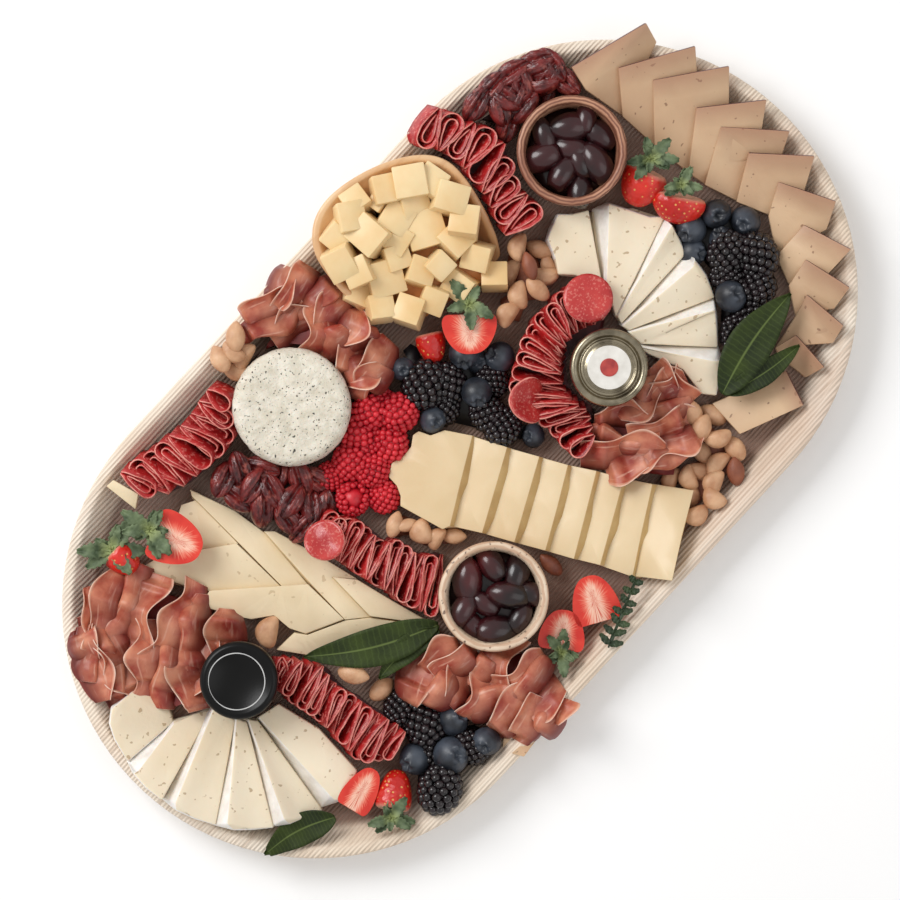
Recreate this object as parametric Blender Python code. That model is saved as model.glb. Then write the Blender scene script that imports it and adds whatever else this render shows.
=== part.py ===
"""Charcuterie board: an oblong ridged serving tray laid with cheeses, cured meats, fruit, nuts,
olives in two small bowls, a scoop of cheese cubes and two small lidded jars.

Millimetres are used for every size below and turned into metres when a mesh is made.
The tray's long axis is X, its floor faces +Z, and the origin is the centre of its flat underside.
"""

import math

import bmesh
import bpy
from mathutils import Vector
from mathutils.geometry import delaunay_2d_cdt, intersect_point_line

MM = 0.001

# Tray
TRAY_LENGTH = 560.0
TRAY_WIDTH = 304.0
TRAY_HEIGHT = 25.0
TRAY_FLOOR = 5.0
TRAY_LIP = 6.0
WALL_RUN = 14.0
END_CENTRE = (TRAY_LENGTH - TRAY_WIDTH) / 2
END_RADIUS = TRAY_WIDTH / 2
END_STEPS = 16

# Food rests this far above what carries it, and pieces keep this far from a round dish
REST_GAP = 0.4

# Bowls, jars and the herbed cheese wheel
BOWL_RADIUS = 33.0
BOWL_HEIGHT = 34.0
BOWL_WALL = 4.5
BOWL_FOOT = 22.0
JAR_RADIUS = 22.0
JAR_HEIGHT = 42.0
LID_RADIUS = 23.2
LID_HEIGHT = 10.0
WHEEL_RADIUS = 36.0
WHEEL_HEIGHT = 36.0
BOWL_A = (176.0, 72.0)
BOWL_B = (-51.0, -74.5)
JAR_A = (95.5, -32.0)
JAR_B = (-190.0, 3.0)
WHEEL_AT = (-50.0, 91.0)
ROUND_STEPS = 20

for old in list(bpy.data.objects):
    bpy.data.objects.remove(old, do_unlink=True)


# ---------------------------------------------------------------- shared building functions


def material(name, colour, roughness, metallic=0.0):
    made = bpy.data.materials.new(name)
    made.use_nodes = True
    shader = made.node_tree.nodes["Principled BSDF"]
    shader.inputs["Base Color"].default_value = (*colour, 1.0)
    shader.inputs["Roughness"].default_value = roughness
    shader.inputs["Metallic"].default_value = metallic
    return made


def add_object(name, mesh, look):
    """Places a bmesh, drawn in millimetres, as one named object with one material."""
    bmesh.ops.scale(mesh, vec=(MM, MM, MM), verts=mesh.verts)
    bmesh.ops.recalc_face_normals(mesh, faces=mesh.faces)
    data = bpy.data.meshes.new(name)
    mesh.to_mesh(data)
    mesh.free()
    data.materials.append(look)
    made = bpy.data.objects.new(name, data)
    bpy.context.scene.collection.objects.link(made)
    return made


def inset_at(x, y):
    """Distance in from the tray's outline, negative outside it."""
    along = max(abs(x) - END_CENTRE, 0.0)
    return END_RADIUS - math.hypot(along, y)


def rest_height(x, y):
    """Lowest height at which food can lie over the tray's floor, wall and lip."""
    inset = inset_at(x, y)
    rise = min(max((22.0 - inset) / WALL_RUN, 0.0), 1.0)
    over_edge = max(3.0 - inset, 0.0) * 0.3
    return TRAY_FLOOR + REST_GAP + 22.0 * rise + over_edge


def loft(rings, capped=True):
    """Closed shell through rings of equal point count."""
    mesh = bmesh.new()
    rows = [[mesh.verts.new(point) for point in ring] for ring in rings]
    count = len(rows[0])
    for low, high in zip(rows, rows[1:]):
        for i in range(count):
            j = (i + 1) % count
            mesh.faces.new((low[i], low[j], high[j], high[i]))
    if capped:
        mesh.faces.new(rows[0])
        mesh.faces.new(rows[-1])
    return mesh


def circle(centre, radius, height, steps=ROUND_STEPS, turn=0.0):
    points = []
    for i in range(steps):
        angle = turn + 2 * math.pi * i / steps
        points.append((centre[0] + radius * math.cos(angle), centre[1] + radius * math.sin(angle), height))
    return points


def inside(outline, x, y):
    """True where a point lies within a closed outline."""
    hit = False
    last = len(outline) - 1
    for i, (ax, ay) in enumerate(outline):
        bx, by = outline[last]
        if (ay > y) != (by > y) and x < (bx - ax) * (y - ay) / (by - ay) + ax:
            hit = not hit
        last = i
    return hit


def edge_distance(outline, x, y):
    nearest = 1e9
    for i, start in enumerate(outline):
        end = outline[(i + 1) % len(outline)]
        foot, share = intersect_point_line((x, y, 0), (*start, 0), (*end, 0))
        share = min(max(share, 0.0), 1.0)
        px = start[0] + share * (end[0] - start[0])
        py = start[1] + share * (end[1] - start[1])
        nearest = min(nearest, math.hypot(px - x, py - y))
    return nearest


def grid_inside(outline, spacing):
    """Staggered rows of points inside an outline, clear of its edge."""
    xs = [point[0] for point in outline]
    ys = [point[1] for point in outline]
    points = []
    row = 0
    y = min(ys) + spacing * 0.5
    while y < max(ys):
        x = min(xs) + spacing * (0.5 if row % 2 else 1.0)
        while x < max(xs):
            if inside(outline, x, y) and edge_distance(outline, x, y) > spacing * 0.45:
                points.append((x, y))
            x += spacing
        y += spacing * 0.87
        row += 1
    return points


def triangles_over(outline, extra):
    """Points and triangles that fill an outline in plan, through the extra points."""
    points = [Vector(point) for point in outline + extra]
    edges = [(i, (i + 1) % len(outline)) for i in range(len(outline))]
    filled = delaunay_2d_cdt(points, edges, [], 1, 1e-5)
    return filled[0], filled[2]


def pile_mesh(outline, top, spacing, bottom=rest_height):
    """A solid standing on the tray inside an outline, with an uneven top."""
    mesh = bmesh.new()
    low = [mesh.verts.new((x, y, bottom(x, y))) for x, y in outline]
    high = [mesh.verts.new((x, y, top(x, y))) for x, y in outline]
    count = len(outline)
    for i in range(count):
        j = (i + 1) % count
        mesh.faces.new((low[i], low[j], high[j], high[i]))
    points, faces = triangles_over(outline, grid_inside(outline, spacing))
    upper = high + [mesh.verts.new((*point, top(*point))) for point in points[count:]]
    for face in faces:
        mesh.faces.new([upper[i] for i in face])
    rising = [point for point in grid_inside(outline, 7.0) if bottom is rest_height and inset_at(*point) < 26.0]
    points, faces = triangles_over(outline, rising)
    lower = low + [mesh.verts.new((*point, bottom(*point))) for point in points[count:]]
    for face in faces:
        mesh.faces.new([lower[i] for i in face])
    return mesh


def bumps(pieces, edge, bottom=rest_height):
    """Top height over a heap of rounded pieces, each given as x, y, centre height and radius."""

    def top(x, y):
        height = bottom(x, y) + edge
        for px, py, pz, radius in pieces:
            across = math.hypot(x - px, y - py)
            if across < radius:
                height = max(height, pz + math.sqrt(radius * radius - across * across))
        return height

    return top


def folded(height, swing, pitch, direction, edge_drop):
    """Top height over loosely folded slices, whose folds run across a direction."""
    lean = math.radians(direction)

    def top(x, y):
        along = x * math.cos(lean) + y * math.sin(lean)
        across = -x * math.sin(lean) + y * math.cos(lean)
        wave = math.sin(2 * math.pi * along / pitch + 0.9 * math.sin(across / 11.0))
        level = height + swing * wave
        return max(level - edge_drop * (1 + math.sin(across / 7.0)), rest_height(x, y) + 4.0)

    return top


def resample(line, count):
    """Evenly spaced points along a run of straight stretches."""
    lengths = [math.dist(a, b) for a, b in zip(line, line[1:])]
    total = sum(lengths)
    points = []
    for i in range(count):
        left = total * i / (count - 1)
        k = 0
        while k < len(lengths) - 1 and left > lengths[k]:
            left -= lengths[k]
            k += 1
        share = min(left / lengths[k], 1.0)
        start = Vector(line[k])
        points.append(start.lerp(Vector(line[k + 1]), share))
    return points


def ruffle(name, side, other, folds, low, high, look):
    """A row of folded slices stood on edge between two sides, with a ridge for each fold."""
    count = 2 * folds + 1
    mesh = bmesh.new()
    rows = []
    for i, (a, b) in enumerate(zip(resample(side, count), resample(other, count))):
        middle = a.lerp(b, 0.5)
        crest = high if i % 2 else low
        row = []
        for point, height in ((a, None), (b, None), (b, crest - 5.0), (middle, crest), (a, crest - 5.0)):
            floor = rest_height(point.x, point.y)
            level = floor if height is None else max(height, floor + 3.0)
            row.append(mesh.verts.new((point.x, point.y, level)))
        rows.append(row)
    for near, far in zip(rows, rows[1:]):
        for i in range(5):
            j = (i + 1) % 5
            mesh.faces.new((near[i], near[j], far[j], far[i]))
    mesh.faces.new(rows[0])
    mesh.faces.new(rows[-1])
    return add_object(name, mesh, look)


def shingle(name, stations, look):
    """Overlapping slices as one stepped solid.

    A station is a line of points across the row: (x, y, underside) for each, then how high the
    slice that ends there and the slice that starts there stand above the underside.
    """
    mesh = bmesh.new()
    under = []
    ending = []
    starting = []
    for points, ends, starts in stations:
        under.append([mesh.verts.new(point) for point in points])
        row = [mesh.verts.new((x, y, z + ends)) for x, y, z in points]
        ending.append(row)
        if starts == ends:
            starting.append(row)
        else:
            starting.append([mesh.verts.new((x, y, z + starts)) for x, y, z in points])
    across = len(stations[0][0])
    last = len(stations) - 1
    for k in range(last):
        for i in range(across - 1):
            mesh.faces.new((starting[k][i], starting[k][i + 1], ending[k + 1][i + 1], ending[k + 1][i]))
            mesh.faces.new((under[k][i], under[k][i + 1], under[k + 1][i + 1], under[k + 1][i]))
        for i in (0, across - 1):
            side = [under[k][i], under[k + 1][i], ending[k + 1][i], starting[k][i]]
            if k > 0 and starting[k][i] is not ending[k][i]:
                side.append(ending[k][i])
            mesh.faces.new(side)
    for k in range(1, last):
        if starting[k][0] is ending[k][0]:
            continue
        for i in range(across - 1):
            mesh.faces.new((ending[k][i], ending[k][i + 1], starting[k][i + 1], starting[k][i]))
    for k, tops in ((0, starting), (last, ending)):
        for i in range(across - 1):
            mesh.faces.new((under[k][i], under[k][i + 1], tops[k][i + 1], tops[k][i]))
    loose = [vert for vert in mesh.verts if not vert.link_faces]
    bmesh.ops.delete(mesh, geom=loose, context="VERTS")
    return add_object(name, mesh, look)


def prism(outline, low, high):
    """A solid between a lower and an upper height, each a number or a function of x and y."""
    floor = low if callable(low) else lambda x, y: low
    roof = high if callable(high) else lambda x, y: high
    return pile_mesh(outline, roof, 1e6, floor)


def plane(a, b, c):
    """Height over x and y of the flat face through three points."""
    start = Vector(a)
    normal = (Vector(b) - start).cross(Vector(c) - start)

    def height(x, y):
        return start.z - (normal.x * (x - start.x) + normal.y * (y - start.y)) / normal.z

    return height


def united(name, meshes, look):
    """Joins overlapping solids into one body."""
    base = add_object(name, meshes[0], look)
    helpers = bpy.data.collections.new(name + "_pieces")
    for i, mesh in enumerate(meshes[1:]):
        piece = add_object(f"{name}_piece_{i}", mesh, look)
        bpy.context.scene.collection.objects.unlink(piece)
        helpers.objects.link(piece)
        piece.hide_render = True
        piece.display_type = "WIRE"
    join = base.modifiers.new("join", "BOOLEAN")
    join.operation = "UNION"
    join.solver = "EXACT"
    join.operand_type = "COLLECTION"
    join.collection = helpers
    return base


def ellipsoid(centre, size, turn=0.0, tip=0.0, steps=8, rows=5):
    """A rounded solid: half sizes along its length, width and height, turned in plan and tipped."""
    mesh = bmesh.new()
    bmesh.ops.create_uvsphere(mesh, u_segments=steps, v_segments=rows, radius=1.0)
    for vert in mesh.verts:
        vert.co = Vector((vert.co.z * size[0], vert.co.y * size[1], vert.co.x * size[2]))
    lean = Vector((0, 1, 0))
    for vert in mesh.verts:
        x = vert.co.x * math.cos(tip) + vert.co.z * math.sin(tip)
        z = -vert.co.x * math.sin(tip) + vert.co.z * math.cos(tip)
        spin_x = x * math.cos(turn) - vert.co.y * math.sin(turn)
        spin_y = x * math.sin(turn) + vert.co.y * math.cos(turn)
        vert.co = Vector((spin_x + centre[0], spin_y + centre[1], z + centre[2]))
    return mesh


# ---------------------------------------------------------------- colours

CREAM_WOOD = material("tray_wood", (0.72, 0.60, 0.50), 0.65)
BROWN_WOOD = material("dark_bowl_wood", (0.45, 0.24, 0.15), 0.5)
PALE_WOOD = material("pale_bowl_wood", (0.70, 0.55, 0.42), 0.5)
AMBER_WOOD = material("scoop_wood", (0.72, 0.48, 0.26), 0.4)
GLASS = material("jar_glass", (0.75, 0.72, 0.66), 0.1)
GILT = material("jar_lid_metal", (0.62, 0.58, 0.48), 0.3, 1.0)
BLACK = material("jar_lid_black", (0.01, 0.01, 0.01), 0.3)
CHEESE_TAN = material("smoked_cheese", (0.66, 0.47, 0.32), 0.55)
CHEESE_YELLOW = material("yellow_cheese", (0.84, 0.67, 0.42), 0.5)
CHEESE_PALE = material("pale_cheese", (0.80, 0.70, 0.52), 0.5)
CHEESE_SOFT = material("soft_cheese", (0.82, 0.72, 0.57), 0.45)
CHEESE_WHITE = material("herbed_cheese", (0.80, 0.77, 0.70), 0.7)
HAM_RED = material("cured_ham", (0.48, 0.13, 0.09), 0.4)
SALAMI_RED = material("salami", (0.36, 0.05, 0.05), 0.4)
NUT_BROWN = material("nut", (0.55, 0.33, 0.20), 0.6)
PECAN_DARK = material("glazed_pecan", (0.16, 0.05, 0.04), 0.4)
OLIVE_DARK = material("olive", (0.05, 0.01, 0.015), 0.2)
BERRY_DARK = material("dark_berry", (0.01, 0.01, 0.015), 0.35)
BERRY_RED = material("raspberry", (0.50, 0.01, 0.03), 0.4)
STRAWBERRY = material("strawberry", (0.62, 0.03, 0.02), 0.35)
LEAF_GREEN = material("sage_leaf", (0.06, 0.12, 0.03), 0.5)


# ---------------------------------------------------------------- tray


def stadium(inset, height):
    """The tray's oblong outline, drawn in by a distance."""
    radius = END_RADIUS - inset
    points = []
    for end in (1, -1):
        for i in range(END_STEPS + 1):
            angle = math.pi * i / END_STEPS - math.pi / 2
            points.append((end * (END_CENTRE + radius * math.cos(angle)), end * radius * math.sin(angle), height))
    return points


def tray():
    profile = (
        (26.0, 0.0),
        (1.5, 20.0),
        (0.0, 23.0),
        (1.2, TRAY_HEIGHT),
        (TRAY_LIP, TRAY_HEIGHT),
        (TRAY_LIP + WALL_RUN, TRAY_FLOOR),
    )
    add_object("tray", loft([stadium(*step) for step in profile]), CREAM_WOOD)


# ---------------------------------------------------------------- dishes and jars


def bowl(name, centre, look):
    base = TRAY_FLOOR + REST_GAP
    rim = base + BOWL_HEIGHT
    inner = BOWL_RADIUS - BOWL_WALL
    rings = [
        circle(centre, BOWL_FOOT, base),
        circle(centre, BOWL_RADIUS - 3.0, base + 13.0),
        circle(centre, BOWL_RADIUS, rim - 3.0),
        circle(centre, BOWL_RADIUS - 1.0, rim),
        circle(centre, inner, rim),
        circle(centre, inner - 3.5, base + 14.0),
        circle(centre, BOWL_FOOT - 6.0, base + 5.0),
    ]
    add_object(name, loft(rings), look)


def olives(name, centre, pieces):
    base = TRAY_FLOOR + REST_GAP
    inner = BOWL_RADIUS - BOWL_WALL
    count = 14
    rings = [
        circle(centre, BOWL_FOOT - 7.5, base + 5.5, count),
        circle(centre, inner - 5.0, base + 14.5, count),
        circle(centre, inner - 1.6, base + 27.0, count),
    ]
    mesh = bmesh.new()
    rows = [[mesh.verts.new(point) for point in ring] for ring in rings]
    for low, high in zip(rows, rows[1:]):
        for i in range(count):
            j = (i + 1) % count
            mesh.faces.new((low[i], low[j], high[j], high[i]))
    mesh.faces.new(rows[0])
    outline = [(x, y) for x, y, z in rings[-1]]
    points, faces = triangles_over(outline, grid_inside(outline, 8.0))
    top = bumps(pieces, 0.0, lambda x, y: base + 27.0)
    upper = rows[-1] + [mesh.verts.new((*point, top(*point))) for point in points[count:]]
    for face in faces:
        mesh.faces.new([upper[i] for i in face])
    add_object(name, mesh, OLIVE_DARK)


def jar(name, lid_name, centre, lid_look):
    base = TRAY_FLOOR + REST_GAP
    top = base + JAR_HEIGHT
    neck = JAR_RADIUS - 2.0
    rings = [
        circle(centre, JAR_RADIUS - 2.0, base),
        circle(centre, JAR_RADIUS, base + 2.5),
        circle(centre, JAR_RADIUS, top - 12.0),
        circle(centre, neck, top - 9.0),
        circle(centre, neck, top),
    ]
    add_object(name, loft(rings), GLASS)
    skirt = top - 5.0
    crown = skirt + LID_HEIGHT
    rings = [
        circle(centre, neck + 0.5, top + 0.5),
        circle(centre, neck + 0.5, skirt),
        circle(centre, LID_RADIUS, skirt),
        circle(centre, LID_RADIUS, crown - 1.2),
        circle(centre, LID_RADIUS - 1.4, crown),
        circle(centre, LID_RADIUS - 4.4, crown),
        circle(centre, LID_RADIUS - 5.4, crown - 1.0),
    ]
    add_object(lid_name, loft(rings), lid_look)


def herb_cheese():
    base = TRAY_FLOOR + REST_GAP
    rings = [
        circle(WHEEL_AT, WHEEL_RADIUS - 2.0, base, 28),
        circle(WHEEL_AT, WHEEL_RADIUS, base + 3.0, 28),
        circle(WHEEL_AT, WHEEL_RADIUS, base + WHEEL_HEIGHT - 4.0, 28),
        circle(WHEEL_AT, WHEEL_RADIUS - 3.5, base + WHEEL_HEIGHT, 28),
    ]
    add_object("herb_cheese", loft(rings), CHEESE_WHITE)


# The scoop's rim, as x, y and rim height, from its left mouth corner round to the right one
SCOOP_RIM = (
    (20.5, 97, 20),
    (20.5, 112, 31),
    (22, 126, 35),
    (25, 139, 37),
    (31, 149, 38),
    (41, 156.5, 38),
    (53, 159.5, 38),
    (67, 158.5, 38),
    (82, 154.5, 38),
    (96, 148.5, 38),
    (108, 141, 37),
    (117, 132, 36),
    (121.5, 121, 35),
    (121, 108, 34),
    (118, 95, 32),
    (113, 80, 27),
    (106.5, 67, 18),
    (100, 61, 12),
    (84, 64, 10),
    (64, 72, 10),
    (44, 80, 10),
    (29, 88, 11),
)
SCOOP_CENTRE = (70.0, 110.0)
SCOOP_LIFT = 8.6


def scoop_ring(share, most_y, height):
    """A copy of the rim's outline drawn in towards the scoop's middle and kept off the tray's wall."""
    points = []
    for x, y, rim in SCOOP_RIM:
        px = SCOOP_CENTRE[0] + share * (x - SCOOP_CENTRE[0])
        py = SCOOP_CENTRE[1] + share * (y - SCOOP_CENTRE[1])
        points.append((px, min(py, most_y + 0.02 * px), height(rim)))
    return points


def scoop():
    base = TRAY_FLOOR + REST_GAP
    rings = [
        scoop_ring(0.70, 128.0, lambda rim: base),
        scoop_ring(0.90, 141.5, lambda rim: min(base + 21.0, 0.72 * rim)),
        scoop_ring(1.00, 200.0, lambda rim: rim - 1.5),
        scoop_ring(0.985, 200.0, lambda rim: rim),
        scoop_ring(0.92, 200.0, lambda rim: rim),
        scoop_ring(0.84, 136.5, lambda rim: max(min(base + 21.0, 0.72 * rim), SCOOP_LIFT + 0.4)),
        scoop_ring(0.66, 123.0, lambda rim: SCOOP_LIFT),
    ]
    add_object("scoop", loft(rings), AMBER_WOOD)


def cheese_cubes():
    """Cubes heaped in the scoop and spilling over its open mouth."""
    base = TRAY_FLOOR + REST_GAP
    low = scoop_ring(0.60, 119.0, lambda rim: SCOOP_LIFT + 0.8)
    middle = scoop_ring(0.80, 133.0, lambda rim: max(min(base + 21.0, 0.72 * rim), SCOOP_LIFT + 0.4) + 1.5)
    spill = {17: (97.5, 53.5), 18: (88.5, 45.5), 19: (77, 57), 20: (50, 64), 21: (33, 68)}
    high = []
    for i, (x, y, rim) in enumerate(SCOOP_RIM):
        px = SCOOP_CENTRE[0] + 0.86 * (x - SCOOP_CENTRE[0])
        py = SCOOP_CENTRE[1] + 0.86 * (y - SCOOP_CENTRE[1])
        px, py = spill.get(i, (px, py))
        high.append((px, py, max(rim - 0.5, 16.0)))
    mesh = bmesh.new()
    rows = [[mesh.verts.new(point) for point in ring] for ring in (low, middle, high)]
    count = len(high)
    top_ring = [mesh.verts.new((x, y, z + 7.0)) for x, y, z in high]
    rows.append(top_ring)
    for near, far in zip(rows, rows[1:]):
        for i in range(count):
            j = (i + 1) % count
            mesh.faces.new((near[i], near[j], far[j], far[i]))
    mesh.faces.new(rows[0])
    outline = [(x, y) for x, y, z in high]
    points, faces = triangles_over(outline, grid_inside(outline, 13.0))
    upper = list(top_ring)
    for x, y in points[count:]:
        upper.append(mesh.verts.new((x, y, 40.0 + 3.0 * math.sin(x / 6.0) * math.cos(y / 5.0))))
    for face in faces:
        mesh.faces.new([upper[i] for i in face])
    add_object("cheese_cubes", mesh, CHEESE_YELLOW)


# ---------------------------------------------------------------- cheeses


def smoked_slices():
    """Eleven slices fanned round the tray's right end, each lying on the one before it.

    Each row gives a slice's inner end, its rind corner and its outer corner, with undersides.
    """
    thickness = 5.5
    step = 5.0
    rows = [
        ((209, 91, 20), (213, 107, 24), (262, 92, 29)),
        ((213, 64, 12), (232, 86, 22.5), (272, 61, 29)),
        ((213.5, 38, 8), (241, 66, 20), (277, 38, 29)),
        ((215.5, 12, 6), (247, 35.5, 16), (277.5, 8, 28.5)),
        ((217, 0, 6), (249, 17, 14), (273.5, -15, 27)),
        ((222.5, -21, 6), (249, -6, 13), (272.5, -36, 28.5)),
        ((229.5, -41, 6), (248.5, -31, 12), (261.5, -64, 28)),
        ((214.5, -61, 6), (240, -60, 12), (246.5, -90, 29)),
        ((207, -78.5, 6), (225.5, -75, 12), (229.5, -105, 27.5)),
        ((196, -94, 6), (210.5, -90, 12), (210.5, -118, 25)),
        ((174, -98, 6), (188.5, -102, 9), (185, -127, 19)),
    ]
    stations = [(row, thickness, thickness + step) for row in rows]
    stations.append((((172, -101.5, 6), (170.8, -111, 6), (167, -124.5, 9)), thickness, thickness))
    shingle("smoked_slices", stations, CHEESE_TAN)
    outline = [(123.5, -93), (169, -112.5), (160.5, -134), (121, -117.5)]
    under = plane((123.5, -93, 6), (169, -112.5, 10.5), (160.5, -134, 15.5))
    mesh = prism(outline, under, lambda x, y: under(x, y) + 7.0)
    add_object("smoked_end_slice", mesh, CHEESE_TAN)


def yellow_slices():
    """Eight slices in a row, each with its lower end on the next."""
    thickness = 13.0
    step = 6.0
    rows = [
        ((-47.5, 8, 6), (-18, 21, 6), (3, 14, 6)),
        ((-38, -27, 7), (-14, -13.5, 7), (11, 0, 7)),
        ((-28, -44, 7), (-4, -32, 7), (20, -20, 7)),
        ((-19, -62, 7), (5, -50, 7), (29, -38, 7)),
        ((-10, -79, 7), (14, -66.5, 7), (37, -54, 7)),
        ((-2, -95, 7), (22, -82, 7), (46, -69, 7)),
        ((6, -109, 7), (30, -96.5, 7), (54, -84, 7)),
        ((14, -128, 8), (38, -113.5, 7), (63, -99, 7)),
        ((28, -147, 28), (53, -134, 17), (78, -121, 7)),
    ]
    stations = []
    for i, row in enumerate(rows):
        if i == 0:
            stations.append((row, thickness, thickness))
        elif i == len(rows) - 1:
            stations.append((row, thickness + 1, thickness + 1))
        else:
            stations.append((row, thickness + step, thickness))
    shingle("yellow_slices", stations, CHEESE_YELLOW)


def soft_wedges_right():
    """Six wedges fanned round the gilt-lidded jar, rind uppermost on each leading edge."""
    rows = [
        ((117, 28, 6), (121.5, 37, 6), (127, 47.5, 6)),
        ((124, 19, 6), (134, 34, 6), (147, 51, 6)),
        ((130, 5.5, 6), (144, 22, 6), (159, 40, 6)),
        ((127.5, -5, 6), (151, 14, 6), (178, 23, 6)),
        ((122, -13, 6), (153, -1, 6), (185.5, 7, 6)),
        ((120.5, -19, 6), (150, -18.5, 6), (180, -18.5, 6)),
        ((120.8, -24, 6), (147, -36, 6), (172, -49.5, 6)),
        ((120.5, -34, 6), (136, -53, 6), (152, -72, 6)),
        ((118.5, -44, 6), (124, -68, 6), (129, -91.5, 6)),
    ]
    heights = ((16, 16), (16, 16), (14, 19), (16, 16), (13, 20), (13, 20), (13, 20), (13, 20), (16, 16))
    stations = [(row, *height) for row, height in zip(rows, heights)]
    shingle("soft_wedges_right", stations, CHEESE_SOFT)


def soft_wedges_left():
    """Six wedges fanned round the black-lidded jar, outer ends leaning on the tray's wall."""
    rows = [
        ((-229.5, 42, 6), (-241, 46.5, 9), (-256, 49, 20)),
        ((-229, 31.5, 6), (-246, 36, 9), (-268, 34, 26)),
        ((-237.5, 16.5, 6), (-252, 18.5, 12), (-271.5, 20.5, 27)),
        ((-227, 9.5, 6), (-246, 5.5, 9), (-273, 4, 28)),
        ((-216, 5, 6), (-244, -2.5, 9), (-274, -10, 28)),
        ((-211.5, -9.5, 6), (-236, -25.5, 7), (-265, -44, 25)),
        ((-207.5, -15.5, 6), (-224, -42, 6), (-243, -71, 19)),
        ((-202.5, -20, 6), (-209, -52, 6), (-216, -85, 7)),
        ((-186.5, -24, 6), (-181, -52, 6), (-183.5, -86.5, 6)),
    ]
    heights = ((12, 12), (13, 13), (10, 16), (12, 12), (10, 18), (10, 18), (11, 19), (12, 20), (15, 15))
    stations = [(row, *height) for row, height in zip(rows, heights)]
    shingle("soft_wedges_left", stations, CHEESE_SOFT)


def pale_triangles():
    """Seven thin triangles laid over each other, as outlines with their tops at three corners."""
    pieces = [
        ([(-189, 93.5), (-165, 87), (-150, 73), (-133, 60), (-134, 23), (-165.5, 52.5), (-173.5, 64.5), (-181, 78)],
         plane((-189, 93, 15), (-133, 60, 21), (-134, 23, 18))),
        ([(-167, 87), (-150, 72), (-132.5, 59), (-131, 96), (-139, 100.5)],
         plane((-165, 85, 12), (-133, 60, 17), (-139, 101, 13))),
        ([(-131.5, 99), (-128.5, 103), (-119.5, 74), (-117, 52), (-122, 12), (-134.3, 22)],
         plane((-131, 100, 16), (-134, 23, 19), (-117, 40, 15))),
        ([(-117.3, 53), (-112, 48), (-105, 20), (-99.5, -8), (-109, 4), (-111, -29), (-123.2, -19), (-122.2, 11)],
         plane((-122, 11, 20), (-123, -19, 20), (-101, 0, 15))),
        ([(-175.5, 50.5), (-165, 52.7), (-133.5, 23), (-121.7, 12), (-122.8, -19.2), (-145, -8.3), (-149, 2),
          (-149.5, 14), (-160.5, 22.5), (-166, 31)],
         plane((-175, 50, 17), (-122, 12, 23), (-145, -9, 18))),
        ([(-164, -1), (-149, -2), (-144.5, -8.7), (-122.5, -19.5), (-110.5, -29), (-88, -62), (-100, -54.5),
          (-118, -47.5), (-133, -38.5), (-146, -26.5), (-153.5, -17)],
         plane((-164, -1, 17), (-111, -29, 19), (-118, -47, 15))),
        ([(-109.3, 4), (-99.7, -8), (-94.8, -32), (-88, -61.5), (-111.3, -28.5)],
         plane((-109, 3, 22), (-111, -29, 22), (-96, -30, 17))),
    ]
    meshes = [prism(outline, rest_height, top) for outline, top in pieces]
    united("pale_triangles", meshes, CHEESE_PALE)
    outline = [(-160, 140), (-158.5, 118), (-150.5, 123), (-154.5, 139.5)]
    add_object("pale_tip", prism(outline, rest_height, lambda x, y: 34.0), CHEESE_PALE)


def tan_slice():
    outline = [(-110, -137.5), (-116, -142), (-109, -153), (-95, -152.5), (-97, -149.5), (-105, -143.5)]
    mesh = prism(outline, lambda x, y: rest_height(x, y) + 1.0, lambda x, y: rest_height(x, y) + 6.0)
    add_object("tan_slice", mesh, CHEESE_TAN)


# ---------------------------------------------------------------- cured meats


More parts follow.
